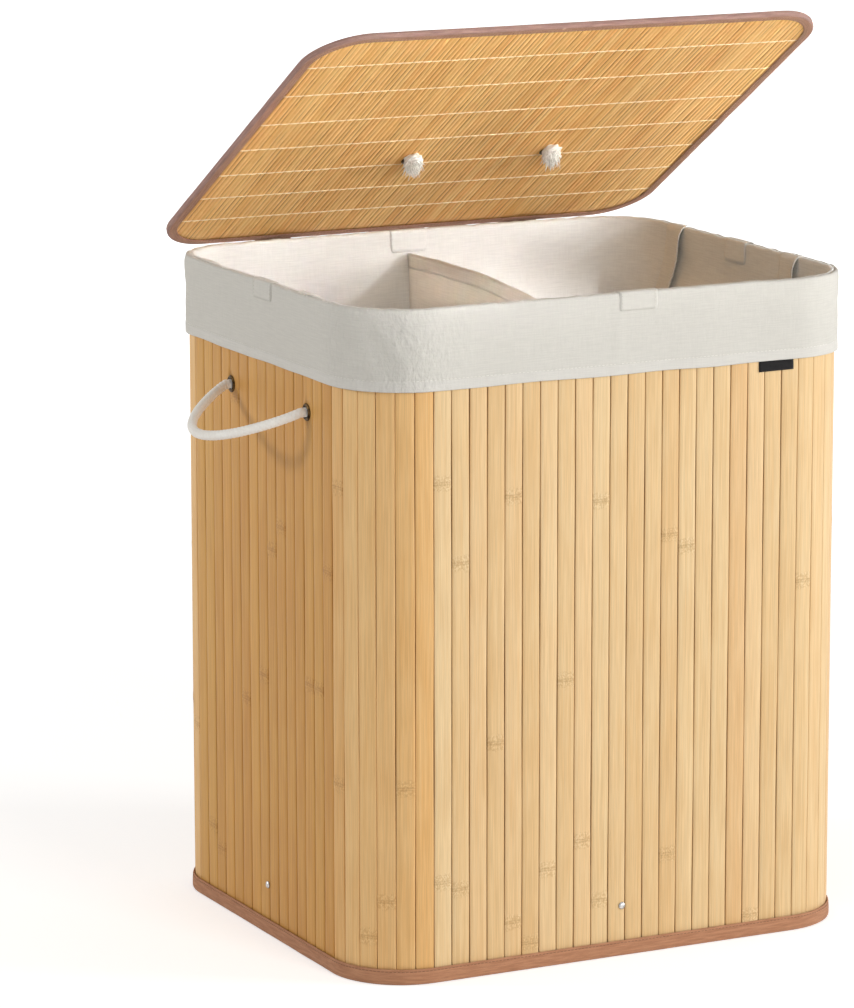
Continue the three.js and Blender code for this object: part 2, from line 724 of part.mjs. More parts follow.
// A rope handle beside an end wall with its two eyelets and knots.
function sideHandle(side, sign) {
  const pieces = [];
  [["front", -1], ["back", 1]].forEach(([place, way]) => {
    const y = sideEyeletOffset + way * sideEyeletSpacing / 2;
    const group = onWall(side, y * sign, sideEyeletHeight);
    group.add(eyelet(`eyelet_${side}_${place}`, wallThickness));
    group.add(knot(`knot_${side}_${place}`, wallThickness));
    pieces.push(group);
  });
  const pivot = onWall(side, sideEyeletOffset * sign, sideEyeletHeight);
  const droop = new THREE.Group();
  droop.position.y = -ropePivot;
  droop.rotation.x = THREE.MathUtils.degToRad(sideLoopDroopDegrees);
  droop.add(ropeLoop(`rope_handle_${side}`, sideEyeletSpacing, sideLoopReach));
  pivot.add(droop);
  pieces.push(pivot);
  return pieces;
}

// A strap extruded along X from an outline of [y, z] pairs.
function strapBody(outline, width) {
  const shape = new THREE.Shape(outline.map(([y, z]) => new THREE.Vector2(y, z)));
  const geometry = new THREE.ExtrudeGeometry(shape, { depth: width, bevelEnabled: false });
  geometry.translate(0, 0, -width / 2);
  geometry.rotateX(Math.PI / 2);
  geometry.rotateZ(Math.PI / 2);
  return geometry;
}

function xCylinder(radius, length, x, y, z) {
  const geometry = new THREE.CylinderGeometry(radius, radius, length, roundSegments);
  geometry.rotateZ(Math.PI / 2);
  geometry.translate(x, y, z);
  return geometry;
}

const hingeRivetHeight = hingeLegLow + hingeRivetInset;
const knuckleLength = hingeWidth * knuckleShare;
const knuckleBore = hingePinRadius + clearance;

// The leg of a hinge strap that is riveted to the back wall, with the middle knuckle.
function hingeLower(name) {
  const back = bodyDepth / 2;
  const skin = back + clearance;
  const proud = back + skirtOuter + clearance;
  const legTop = hingeLegTop;
  const t = hingeStrapThickness;
  const leg = strapBody([
    [skin, hingeLegLow], [skin + t, hingeLegLow], [skin + t, hingeStepLow], [proud + t, hingeStepTop],
    [proud + t, legTop], [proud, legTop], [proud, hingeStepTop], [skin, hingeStepLow],
  ], hingeWidth);
  const tongueWidth = knuckleLength - clearance * 2;
  const tongue = strapBody([[proud, legTop - t], [proud + t, legTop - t],
    [hingeAxisY, hingeAxisHeight - knuckleRadius], [hingeAxisY, hingeAxisHeight],
    [hingeAxisY - knuckleRadius, hingeAxisHeight], [proud, legTop]], tongueWidth);
  const knuckle = xCylinder(knuckleRadius, tongueWidth, 0, hingeAxisY, hingeAxisHeight);
  const bore = xCylinder(knuckleBore, hingeWidth, 0, hingeAxisY, hingeAxisHeight);
  const hole = new THREE.CylinderGeometry(rivetShankRadius + clearance, rivetShankRadius + clearance,
    t + cutOverrun * 2, roundSegments);
  hole.translate(0, skin + t / 2, hingeRivetHeight);
  const body = solid(leg).add(solid(tongue)).add(solid(knuckle)).subtract(solid(bore));
  return part(name, geometryOf(body.subtract(solid(hole))), brownTape);
}

// The leg that goes up behind the lid's rear edge and forward over its top, with the outer knuckles.
function hingeUpper(name) {
  const t = hingeStrapThickness;
  const near = lidRearY + clearance;
  const low = hingeAxisHeight + knuckleRadius + clearance * 2;
  const under = lidTop + clearance;
  const front = lidRearY - hingeStrapLidLength;
  const band = strapBody([[near, low], [near + t, low], [near + t, under + t], [front, under + t],
    [front, under], [near, under]], hingeWidth);
  const foot = strapBody([[near, low + t], [near + t, low + t], [near + t, low],
    [hingeAxisY + knuckleRadius, hingeAxisHeight], [hingeAxisY, hingeAxisHeight],
    [hingeAxisY, hingeAxisHeight + knuckleRadius], [near, low]], knuckleLength);
  const knuckles = [-1, 1].map((sign) => {
    const x = sign * knuckleLength;
    const ear = solid(foot.clone().translate(x, 0, 0));
    return ear.add(solid(xCylinder(knuckleRadius, knuckleLength, x, hingeAxisY, hingeAxisHeight)));
  });
  const bore = solid(xCylinder(knuckleBore, hingeWidth * 2, 0, hingeAxisY, hingeAxisHeight));
  const hole = new THREE.CylinderGeometry(rivetShankRadius + clearance, rivetShankRadius + clearance,
    t + cutOverrun * 2, roundSegments);
  hole.rotateX(Math.PI / 2);
  hole.translate(0, front + hingeRivetInset, under + t / 2);
  const body = knuckles.reduce((sum, ear) => sum.add(ear), solid(band)).subtract(bore);
  return part(name, geometryOf(body.subtract(solid(hole))), brownTape);
}

function hingePin(name) {
  return part(name, merged(xCylinder(hingePinRadius, hingeWidth, 0, hingeAxisY, hingeAxisHeight)), steel);
}

// The lid's panel of narrow slats, grooved on both faces, before its holes are cut.
function lidPanel() {
  const width = lidWidth - (lidEdgeThickness + clearance) * 2;
  const depth = lidDepth - (lidEdgeThickness + clearance) * 2;
  const count = Math.round(width / lidSlatPitch);
  const step = width / count;
  const upper = [];
  const lower = [];
  for (let i = 0; i < count; i += 1) {
    const start = i * step - width / 2;
    const ends = [start + lidGrooveWidth / 2, start + step - lidGrooveWidth / 2];
    ends.forEach((x) => {
      upper.push(new THREE.Vector2(x, lidSlatThickness));
      lower.unshift(new THREE.Vector2(x, 0));
    });
    if (i < count - 1) {
      upper.push(new THREE.Vector2(start + step, lidSlatThickness - lidGrooveDepth));
      lower.unshift(new THREE.Vector2(start + step, lidGrooveDepth));
    }
  }
  const slats = new THREE.ExtrudeGeometry(new THREE.Shape([...lower, ...upper].reverse()), {
    depth,
    bevelEnabled: false,
  });
  slats.rotateX(Math.PI / 2);
  slats.translate(0, depth / 2, 0);
  const radius = lidCornerRadius - lidEdgeThickness - clearance;
  const trim = new THREE.ExtrudeGeometry(roundedRectangle(width, depth, radius), {
    depth: lidSlatThickness + cutOverrun * 2,
    bevelEnabled: false,
  });
  trim.translate(0, 0, -cutOverrun);
  const panel = solid(slats).intersect(solid(trim));
  return panel.translate([0, lidRearY - lidDepth / 2, lidSlatBottom]);
}

// A vertical bore through the lid.
function lidBore(x, y, radius) {
  const length = lidTop - lidBottom + cutOverrun * 2;
  const bore = new THREE.CylinderGeometry(radius, radius, length, roundSegments);
  bore.rotateX(Math.PI / 2);
  bore.translate(x, y, (lidTop + lidBottom) / 2);
  return solid(bore);
}

// A group at a point on the lid's slats whose -Y points up, out of the lid.
function onLid(x, y) {
  const group = new THREE.Group();
  group.position.set(x, y, lidSlatTop);
  group.rotation.x = -Math.PI / 2;
  return group;
}

const lidEyeletY = lidRearY - lidEyeletFromRear;
const lidEyeletX = [-1, 1].map((sign) => lidEyeletOffset + sign * lidEyeletSpacing / 2);
const hingeX = [-1, 1].map((sign) => sign * hingeSpacing / 2);
const lidRivetY = lidRearY - hingeStrapLidLength + hingeRivetInset;

function lidSlats() {
  const bores = [
    ...lidEyeletX.map((x) => lidBore(x, lidEyeletY, eyeletBoreRadius)),
    ...hingeX.map((x) => lidBore(x, lidRivetY, rivetShankRadius + clearance)),
  ];
  const panel = bores.reduce((body, bore) => body.subtract(bore), lidPanel());
  return part("lid_slats", geometryOf(panel), lidBamboo);
}

// The tape folded round the lid's edge.
function lidBinding() {
  const stations = ringStations(lidWidth, lidDepth, lidCornerRadius, 1, 1);
  const edge = lidTapeThickness / 2;
  const slot = -lidEdgeThickness;
  const ring = ringSweep([
    [-edge, lidBottom], [0, lidBottom + edge], [0, lidTop - edge], [-edge, lidTop],
    [-lidTapeWidth, lidTop], [-lidTapeWidth, lidTop - lidTapeThickness],
    [slot, lidTop - lidTapeThickness], [slot, lidBottom + lidTapeThickness],
    [-lidTapeWidth, lidBottom + lidTapeThickness], [-lidTapeWidth, lidBottom],
  ], stations);
  ring.translate(0, lidRearY - lidDepth / 2, 0);
  return part("lid_binding", ring, brownTape);
}

// The lid's rope handle leans towards the hinges, as it falls with the lid held open.
function lidHandle() {
  const pieces = lidEyeletX.map((x, i) => {
    const group = onLid(x, lidEyeletY);
    const place = i === 0 ? "left" : "right";
    group.add(eyelet(`eyelet_lid_${place}`, lidSlatThickness));
    group.add(knot(`knot_lid_${place}`, lidSlatThickness));
    return group;
  });
  const pivot = onLid(lidEyeletOffset, lidEyeletY);
  const lean = new THREE.Group();
  lean.position.y = -ropePivot;
  lean.rotation.x = THREE.MathUtils.degToRad(lidLoopLeanDegrees - 90);
  lean.add(ropeLoop("rope_handle_lid", lidEyeletSpacing, lidLoopReach));
  pivot.add(lean);
  return [...pieces, pivot];
}

// Everything that swings with the lid, drawn closed and then turned open about the hinge pins.
function lidGroup() {
  const lid = new THREE.Group();
  lid.position.set(0, -hingeAxisY, -hingeAxisHeight);
  lid.add(lidSlats(), lidBinding(), ...lidHandle());
  hingeX.forEach((x, i) => {
    const place = i === 0 ? "left" : "right";
    const strap = hingeUpper(`hinge_upper_${place}`);
    strap.position.x = x;
    const fixing = onLid(x, lidRivetY);
    const strapTop = lidTop + clearance + hingeStrapThickness - lidSlatTop;
    fixing.add(rivet(`hinge_rivet_lid_${place}`, strapTop, -lidSlatThickness));
    lid.add(strap, fixing);
  });
  const swing = new THREE.Group();
  swing.position.set(0, hingeAxisY, hingeAxisHeight);
  swing.rotation.x = -THREE.MathUtils.degToRad(lidOpenDegrees);
  swing.add(lid);
  return swing;
}

function wallHinges() {
  return hingeX.flatMap((x, i) => {
    const place = i === 0 ? "left" : "right";
    const lower = hingeLower(`hinge_lower_${place}`);
    const pin = hingePin(`hinge_pin_${place}`);
    lower.position.x = x;
    pin.position.x = x;
    const fixing = onWall("back", -x, hingeRivetHeight);
    fixing.add(rivet(`hinge_rivet_wall_${place}`, clearance + hingeStrapThickness, wallInner));
    return [lower, pin, fixing];
  });
}

function walls() {
  const rivetHole = (side) => [sides[side].rivetAlong, baseRivetHeight, rivetShankRadius + clearance];
  const eyelets = (sign) => [-1, 1].map((way) => {
    const y = sideEyeletOffset + way * sideEyeletSpacing / 2;
    return [y * sign, sideEyeletHeight, eyeletBoreRadius];
  });
  const strapHoles = hingeX.map((x) => [-x, hingeRivetHeight, rivetShankRadius + clearance]);
  return [
    straightWall("front", [rivetHole("front")]),
    straightWall("back", [rivetHole("back"), ...strapHoles]),
    straightWall("left", [rivetHole("left"), ...eyelets(-1)]),
    straightWall("right", [rivetHole("right"), ...eyelets(1)]),
    cornerWall("front_left", -1, -1),
    cornerWall("front_right", 1, -1),
    cornerWall("back_left", -1, 1),
    cornerWall("back_right", 1, 1),
  ];
}

function baseRivets() {
  return Object.keys(sides).map((side) => {
    const group = onWall(side, sides[side].rivetAlong, baseRivetHeight);
    group.add(rivet(`base_rivet_${side}`, 0, flapInner));
    return group;
  });
}

function hamper() {
  const group = new THREE.Group();
  group.add(...walls(), topBinding(), bottomBinding(), baseBoard(), ...baseRivets());
  group.add(liner(), divider(), labelTab());
  group.add(rimTab("front", frontTabOffset), rimTab("back", 0));
  group.add(rimTab("left", -leftTabOffset), rimTab("right", rightTabOffset));
  group.add(carryStrap("left", -1), carryStrap("right", 1));
  group.add(...sideHandle("left", -1), ...sideHandle("right", 1));
  group.add(...wallHinges(), lidGroup());
  return group;
}

export default hamper();
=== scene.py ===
import math

import bpy
import numpy as np
from mathutils import Matrix, Vector

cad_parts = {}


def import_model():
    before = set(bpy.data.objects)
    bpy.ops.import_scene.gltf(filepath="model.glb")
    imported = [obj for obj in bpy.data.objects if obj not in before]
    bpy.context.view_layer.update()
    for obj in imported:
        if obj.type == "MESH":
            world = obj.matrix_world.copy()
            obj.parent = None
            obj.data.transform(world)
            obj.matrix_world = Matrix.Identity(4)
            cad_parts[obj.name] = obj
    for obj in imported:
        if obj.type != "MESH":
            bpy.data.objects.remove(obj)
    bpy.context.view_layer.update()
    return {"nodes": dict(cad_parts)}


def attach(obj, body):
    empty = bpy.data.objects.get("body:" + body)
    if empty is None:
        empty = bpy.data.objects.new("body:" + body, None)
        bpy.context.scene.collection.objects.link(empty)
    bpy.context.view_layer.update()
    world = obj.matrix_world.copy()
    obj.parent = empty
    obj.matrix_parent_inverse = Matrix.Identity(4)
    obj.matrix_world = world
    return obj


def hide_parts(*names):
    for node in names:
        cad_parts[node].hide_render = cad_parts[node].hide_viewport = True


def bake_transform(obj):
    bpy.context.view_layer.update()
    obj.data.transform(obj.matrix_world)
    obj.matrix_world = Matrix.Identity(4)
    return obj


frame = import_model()

# Sizes in millimetres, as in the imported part: the frame itself is in metres.
MM = 0.001
TAU = 2 * math.pi
WIDTH, DEPTH, RIM, CORNER = 495.0, 421.0, 600.0, 66.0
SLAT_PITCH = {"front": 17.3, "right": 19.3, "back": 17.3, "left": 19.3}
CORNER_SLATS = 6
LID_SLAT_PITCH = 9.2
SLAT_LOW, SLAT_HIGH = 1.5, 597.5
SKIRT_LOW = 528.0
FOOT_HIGH = 14.0
EYELET_Z, EYELET_Y, EYELET_HALF = 496.0, -15.0, 79.5
PIVOT_OUT = 5.8
SIDE_REACH, SIDE_DROOP = 68.0, math.radians(23)
LID_WIDTH, LID_DEPTH, LID_CORNER = 508.0, 433.0, 52.0
LID_OPEN = math.radians(31.7)
LID_LOW, LID_HIGH = 601.5, 606.5
SLAT_UNDER, SLAT_OVER = 602.5, 605.5
LID_REAR = DEPTH / 2 + 9
HINGE_Y, HINGE_Z = 217.1, 587.0
LID_EYELET_X, LID_EYELET_HALF, LID_EYELET_Y = 15.0, 71.5, LID_REAR - 163
LID_REACH, LID_LEAN = 52.0, math.radians(40)
LOOP_PINCH = 1.6
ROPE = 4.3
SIDES = {"front": (0, WIDTH, DEPTH / 2), "right": (1, DEPTH, WIDTH / 2),
         "back": (2, WIDTH, DEPTH / 2), "left": (3, DEPTH, WIDTH / 2)}

# The camera that the photograph's outlines gave, for a view 1008 pixels high.
FOCAL_PIXELS, FRAME_HIGH = 5000.0, 1008.0
AZIMUTH, ELEVATION, ROLL = math.radians(-26.5565), math.radians(11.49), math.radians(-0.09)
CAMERA_AT = Vector((-2.0738, -3.9831, 1.2870))


def camera():
    back = Vector((math.sin(AZIMUTH) * math.cos(ELEVATION), -math.cos(AZIMUTH) * math.cos(ELEVATION),
                   math.sin(ELEVATION)))
    level = Vector((math.cos(AZIMUTH), math.sin(AZIMUTH), 0))
    lift = back.cross(level)
    right = level * math.cos(ROLL) + lift * math.sin(ROLL)
    up = lift * math.cos(ROLL) - level * math.sin(ROLL)
    data = bpy.data.cameras.new("camera")
    data.sensor_width = 36
    data.lens = FOCAL_PIXELS / FRAME_HIGH * data.sensor_width
    data.clip_start, data.clip_end = 0.1, 60
    view = bpy.data.objects.new("camera", data)
    view.matrix_world = Matrix.Translation(CAMERA_AT) @ Matrix((right, up, back)).transposed().to_4x4()
    bpy.context.scene.collection.objects.link(view)
    bpy.context.scene.camera = view


camera()


# Small helpers for points.
def ripple(points, seed, size, stretch=(1, 1, 1), count=9):
    """Smooth random waves through space, about -1 to 1, with bumps about size apart."""
    rng = np.random.default_rng(seed)
    total = 0
    for _ in range(count):
        way = rng.normal(size=3)
        way = way / np.linalg.norm(way) / np.array(stretch)
        total = total + np.sin(points @ way * (TAU / (size * rng.uniform(0.7, 1.5))) + rng.uniform(0, TAU))
    return total / math.sqrt(count)


def smooth(low, high, x):
    t = np.clip((x - low) / (high - low), 0, 1)
    return t * t * (3 - 2 * t)


def turned(points, turns):
    """Points turned about +Z by quarter turns."""
    c, s = round(math.cos(turns * TAU / 4)), round(math.sin(turns * TAU / 4))
    x, y, z = points[..., 0], points[..., 1], points[..., 2]
    return np.stack([x * c - y * s, x * s + y * c, z], -1)


def lid_turned(points):
    """Points of the closed lid, turned open about the hinges."""
    y, z = points[..., 1] - HINGE_Y, points[..., 2] - HINGE_Z
    c, s = math.cos(-LID_OPEN), math.sin(-LID_OPEN)
    return np.stack([points[..., 0], HINGE_Y + y * c - z * s, HINGE_Z + y * s + z * c], -1)


def run_along(points, closed=False):
    """Distance along a line of points, from 0 at its start; closed adds the way back to the start."""
    points = np.asarray(points, float)
    points = np.vstack([points, points[:1]]) if closed else points
    return np.concatenate([[0], np.cumsum(np.linalg.norm(np.diff(points, axis=0), axis=1))])


def values(items, key, width, kind=float):
    """One property of a mesh's items, in rows of width."""
    found = np.zeros(len(items) * width, kind)
    items.foreach_get(key, found)
    return found.reshape(-1, width)


def thicken(piece, thickness, rounded=False):
    """Gives a sheet its thickness in mm, half to each side; rounded smooths its form first."""
    if rounded:
        change = piece.modifiers.new("rounded", "SUBSURF")
        change.levels = change.render_levels = 1
    change = piece.modifiers.new("thickness", "SOLIDIFY")
    change.thickness, change.offset = thickness * MM, 0


class Shape:
    """Points, faces and their corners' UVs, gathered piece by piece into one mesh."""

    def __init__(self):
        self.points, self.faces, self.grain, self.mark, self.slots = [], [], [], [], []
        self.count = 0

    def add(self, points, faces, grain, mark=(0.5, 0.0), slot=0):
        """grain has a row for each corner of each face; mark and slot are one value or one for each face."""
        points = np.asarray(points, float).reshape(-1, 3)
        self.points.append(points)
        self.faces += [[int(v) + self.count for v in f] for f in faces]
        mark = np.array(mark, float)
        mark = mark if mark.ndim == 2 else np.tile(mark, (len(faces), 1))
        self.grain.append(np.asarray(grain, float).reshape(-1, 2))
        self.mark.append(np.repeat(mark, [len(f) for f in faces], axis=0))
        self.slots += list(slot) if isinstance(slot, (list, np.ndarray)) else [slot] * len(faces)
        self.count += len(points)

    def grid(self, points, u, v, closed=False, mark=(0.5, 0.0), slot=0, flip=False, caps=False, hoop=False):
        """A sheet of rows by columns, with a u for each column and a v for each row.

        closed joins the last column to the first and hoop the last row to the first: u or v then has one more
        value. mark is one row of values, or one for each strip between two rows of points."""
        rows, cols = points.shape[:2]
        steps = cols if closed else cols - 1
        mark = np.array(mark, float)
        if mark.ndim == 2:
            mark = np.concatenate([np.repeat(mark, steps, axis=0)] + ([mark[:1], mark[-1:]] if caps else []))
        r, c = (k.ravel() for k in np.meshgrid(np.arange(rows if hoop else rows - 1), np.arange(steps),
                                               indexing="ij"))
        n, s = (c + 1) % cols, (r + 1) % rows
        quads = np.stack([r * cols + c, r * cols + n, s * cols + n, s * cols + c], 1)
        u, v = np.asarray(u, float), np.asarray(v, float)
        uv = np.stack([np.stack([u[a], v[b]], 1) for a, b in ((c, r), (c + 1, r), (c + 1, r + 1), (c, r + 1))], 1)
        if flip:
            order = [0, 3, 2, 1] if hoop else [3, 2, 1, 0]
            quads, uv = quads[:, order], uv[:, order]
        faces, grain = quads.tolist(), [uv.reshape(-1, 2)]
        if caps:
            first, last = list(range(cols))[::-1], [(rows - 1) * cols + k for k in range(cols)]
            faces += [first[::-1], last[::-1]] if flip else [first, last]
            grain += [np.tile([u[0], v[k]], (cols, 1)) for k in (0, -1)]
        self.add(points, faces, np.concatenate(grain), mark, slot)

    def take(self, piece):
        """Adds another piece's mesh, and removes that piece."""
        mesh = piece.data
        for key, rows in (("grain", self.grain), ("mark", self.mark)):
            rows.append(values(mesh.uv_layers[key].data, "uv", 2))
        self.points.append(values(mesh.vertices, "co", 3) / MM)
        self.faces += [[v + self.count for v in face.vertices] for face in mesh.polygons]
        self.slots += [0] * len(mesh.polygons)
        self.count += len(mesh.vertices)
        bpy.data.objects.remove(piece)

    def make(self, name, materials, body="basket", replaces=(), slot=None):
        mesh = bpy.data.meshes.new(name)
        mesh.from_pydata((np.concatenate(self.points) * MM).tolist(), [], self.faces)
        for key, rows in (("grain", self.grain), ("mark", self.mark)):
            layer = mesh.uv_layers.new(name=key)
            layer.data.foreach_set("uv", np.concatenate(rows).astype(np.float32).ravel())
        for material in materials if isinstance(materials, (list, tuple)) else [materials]:
            mesh.materials.append(material)
        mesh.polygons.foreach_set("material_index", np.array(self.slots, np.int32))
        mesh.polygons.foreach_set("use_smooth", np.full(len(mesh.polygons), True))
        mesh.update()
        piece = bpy.data.objects.new(name, mesh)
        bpy.context.scene.collection.objects.link(piece)
        if body:
            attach(piece, body)
        if replaces:
            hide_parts(*replaces)
        return piece


def tube(shape, line, radius, sides, pattern=None):
    """A tube along a line. radius is a number or one for each point; pattern(run, angle) scales it."""
    line = np.asarray(line, float)
    ahead = np.gradient(line, axis=0)
    ahead /= np.linalg.norm(ahead, axis=1)[:, None]
    side = np.cross(ahead[0], [0.3, 0.2, 1.0])
    frames = []
    for t in ahead:
        side = side - t * (side @ t)
        side = side / np.linalg.norm(side)
        frames.append((side, np.cross(t, side)))
    a, b = np.array(frames).transpose(1, 0, 2)[:, :, None]
    run = run_along(line)
    angle = np.arange(sides) / sides * TAU
    radius = np.broadcast_to(radius, len(line))
    size = radius[:, None] * (pattern(run[:, None], angle[None, :]) if pattern else 1)
    points = line[:, None, :] + a * (size * np.cos(angle))[..., None] + b * (size * np.sin(angle))[..., None]
    u = np.arange(sides + 1) / sides * TAU * float(np.mean(radius))
    shape.grid(points, u, run, closed=True, caps=True)


def ring(width, depth, radius, step):
    """Stations round a rounded rectangle from the middle of the back: points, normals, distance."""
    points, normals = [], []
    hx, hy = width / 2 - radius, depth / 2 - radius
    for corner, (sx, sy) in enumerate(((1, -1), (1, 1), (-1, 1), (-1, -1))):
        start = (corner - 1) * TAU / 4
        n = max(3, round(radius * TAU / 4 / step))
        for i in range(n + 1):
            a = start + TAU / 4 * i / n
            points.append((sx * hx + radius * math.cos(a), sy * hy + radius * math.sin(a)))
            normals.append((math.cos(a), math.sin(a)))
        nx, ny = ((1, 1), (-1, 1), (-1, -1), (1, -1))[corner]
        end = (nx * hx + radius * normals[-1][0], ny * hy + radius * normals[-1][1])
        length = math.dist(points[-1], end)
        m, first = max(1, round(length / step)), points[-1]
        for i in range(1, m):
            points.append(tuple(first[k] + (end[k] - first[k]) * i / m for k in (0, 1)))
            normals.append(normals[-1])
    points, normals = np.array(points), np.array(normals)
    start = int(np.argmin(np.hypot(points[:, 0], points[:, 1] - depth / 2)))
    points, normals = np.roll(points, -start, 0), np.roll(normals, -start, 0)
    return points, normals, run_along(points, closed=True)


# Materials.
class Nodes:
    """A node tree built up with short calls."""

    def __init__(self, owner):
        owner.use_nodes = True
        self.owner, self.tree = owner, owner.node_tree
        self.tree.nodes.clear()

    def put(self, socket, value):
        if isinstance(value, bpy.types.NodeSocket):
            self.tree.links.new(value, socket)
        else:
            socket.default_value = value

    def node(self, kind, out=0, settings=None, **inputs):
        """A new node's output. An input named i and a number goes by its place, and any other by its name."""
        made = self.tree.nodes.new("ShaderNode" + kind)
        for key, value in (settings or {}).items():
            setattr(made, key, value)
        for key, value in inputs.items():
            index = int(key[1:]) if key[0] == "i" and key[1:].isdigit() else key.replace("_", " ")
            self.put(made.inputs[index], value)
        return made.outputs[out]

    def math(self, operation, a, b=0.0):
        return self.node("Math", 0, {"operation": operation}, i0=a, i1=b)

    def plus(self, a, b):
        return self.math("ADD", a, b)

    def less(self, a, b):
        return self.math("SUBTRACT", a, b)

    def times(self, a, b):
        return self.math("MULTIPLY", a, b)

    def uv(self, name):
        made = self.tree.nodes.new("ShaderNodeSeparateXYZ")
        self.put(made.inputs[0], self.node("UVMap", 0, {"uv_map": name}))
        return made.outputs

    def join(self, x, y, z=0.0):
        return self.node("CombineXYZ", 0, None, i0=x, i1=y, i2=z)

    def noise(self, vector, scale=1.0, detail=3.0, rough=0.55):
        """Noise at one scale, or at one for each axis."""
        if isinstance(scale, tuple):
            vector, scale = self.node("Mapping", 0, None, Vector=vector, Scale=scale), 1.0
        return self.node("TexNoise", 0, None, Vector=vector, Scale=scale, Detail=detail, Roughness=rough)

    def streaked(self, uv, x, y, detail, rough):
        return self.noise(self.join(self.times(uv[0], x), self.times(uv[1], y)), 1.0, detail, rough)

    def wave(self, uv, direction, scale, distortion, detail):
        return self.node("TexWave", 1, {"bands_direction": direction}, Vector=self.join(uv[0], uv[1]), Scale=scale,
                         Distortion=distortion, Detail=detail)

    def mix(self, share, a, b, blend="MIX"):
        made = self.tree.nodes.new("ShaderNodeMix")
        made.data_type, made.blend_type = "RGBA", blend
        self.put(made.inputs[0], share)
        for number, color in ((6, a), (7, b)):
            self.put(made.inputs[number], color if isinstance(color, bpy.types.NodeSocket) else (*color, 1))
        return made.outputs[2]

    def tinted(self, color, tint):
        return self.mix(1.0, color, tint, "MULTIPLY")

    def shaded(self, color, shade):
        return self.tinted(color, self.join(shade, shade, shade))

    def between(self, value, low, high, to_low=0.0, to_high=1.0):
        return self.node("MapRange", 0, {"interpolation_type": "SMOOTHSTEP"}, i0=value, i1=low, i2=high,
                         i3=to_low, i4=to_high)

    def bump(self, height, strength, distance, normal=None):
        extra = {"Normal": normal} if normal is not None else {}
        return self.node("Bump", 0, None, Strength=strength, Distance=distance, Height=height, **extra)

    def seen(self):
        """1 for rays from the viewer, straight, by reflection or through glass, and 0 for rays that light things."""
        path = self.tree.nodes.new("ShaderNodeLightPath").outputs
        return self.math("MAXIMUM", path["Is Camera Ray"],
                         self.math("MAXIMUM", path["Is Glossy Ray"], path["Is Transmission Ray"]))


class Material(Nodes):
    """A material round one principled shader."""

    def __init__(self, name):
        super().__init__(bpy.data.materials.new(name))
        self.out = self.tree.nodes.new("ShaderNodeOutputMaterial")
        self.shader = self.tree.nodes.new("ShaderNodeBsdfPrincipled")
        self.put(self.out.inputs[0], self.shader.outputs[0])

    def finish(self, **inputs):
        for key, value in inputs.items():
            self.put(self.shader.inputs[key.replace("_", " ")], value)
        return self.owner


def rgb(r, g, b):
    """A colour as seen on screen, from 0 to 255, as the linear numbers that a shader takes."""
    return tuple(c / 12.92 if c <= 0.04045 else ((c + 0.055) / 1.055) ** 2.4 for c in (r / 255, g / 255, b / 255))


def bamboo(name, deep, pale, knots=True, fine=1.0, line=0.0, gloss=0.35):
    """Split bamboo: fibres along the slat, a tone of its own for each slat, nodes here and there.

    The mark map holds the slat's own random number and the height of its node, or on the lid the place of its middle
    groove.
    Where line is more than 0, dark lines of varied strength run along the middle groove and the edges, where strips lie
    side by side: painted shade in those grooves."""
    m = Material(name)
    grain, mark = m.uv("grain"), m.uv("mark")
    across, along = grain[0], grain[1]
    seed = m.times(mark[0], 37.0)
    where = m.join(m.plus(across, seed), along, seed)
    fibres = m.noise(where, (1.5 * fine, 0.02, 1), 4.0, 0.62)
    streaks = m.noise(where, (0.5 * fine, 0.008, 1), 2.0)
    clouds = m.noise(where, (0.06, 0.014, 1), 2.0)
    tone = m.plus(m.times(mark[0], 0.34), m.times(clouds, 0.5))
    tone = m.plus(tone, m.times(m.less(streaks, 0.5), 0.7))
    color = m.mix(m.between(tone, 0.0, 0.84), deep, pale)
    pinkish = m.between(m.noise(m.join(seed, 0.0, seed), 3.1, 0.0), 0.52, 0.66, 0.0, 0.55)
    color = m.mix(pinkish, color, m.tinted(color, (1.0, 0.90, 0.84)))
    color = m.shaded(color, m.between(fibres, 0.3, 0.72, 0.87, 1.04))
    height = m.times(fibres, 0.5)
    if knots:
        gap = m.math("ABSOLUTE", m.less(along, mark[1]))
        ragged = m.times(m.noise(where, (0.35, 0.35, 1), 2.0), 8.0)
        near = m.between(m.plus(gap, ragged), 9.0, 13.0, 1.0, 0.0)
        specks = m.noise(where, (0.8, 0.5, 1), 3.0, 0.7)
        spot = m.mix(m.between(specks, 0.42, 0.6), (0.76, 0.68, 0.58), (1.08, 1.16, 1.26))
        color = m.mix(m.times(near, 0.62), color, m.tinted(color, spot))
        brow = m.between(m.math("ABSOLUTE", m.less(gap, 1.0)), 0.0, 1.3, 0.4, 0.0)
        color = m.mix(brow, color, m.tinted(color, (0.66, 0.56, 0.46)))
        height = m.plus(height, m.times(m.times(near, specks), 1.2))
    # Painted shade: dark lines along the middle groove and the edges, where the strips meet.
    if line:
        half = LID_SLAT_PITCH / 2
        which = m.times(m.math("ROUND", m.math("DIVIDE", across, half)), 7.3)
        strength = m.noise(m.join(m.plus(seed, which), m.times(along, 0.012), 1.0), 1.0, 2.0)
        strength = m.between(strength, 0.4, 0.62, 0.1, 1.0)
        middle = m.math("ABSOLUTE", m.less(across, mark[1]))
        edge = m.less(half, m.math("ABSOLUTE", across))
        seam = m.between(m.math("MINIMUM", middle, edge), 0.18, 0.55, 1.0, 0.0)
        color = m.mix(m.times(m.times(seam, strength), line), color, rgb(136, 78, 30))
    return m.finish(Base_Color=color, Roughness=m.between(fibres, 0.2, 0.8, 0.46, 0.60),
                    Normal=m.bump(height, 0.35, 0.0004), Specular_IOR_Level=gloss)


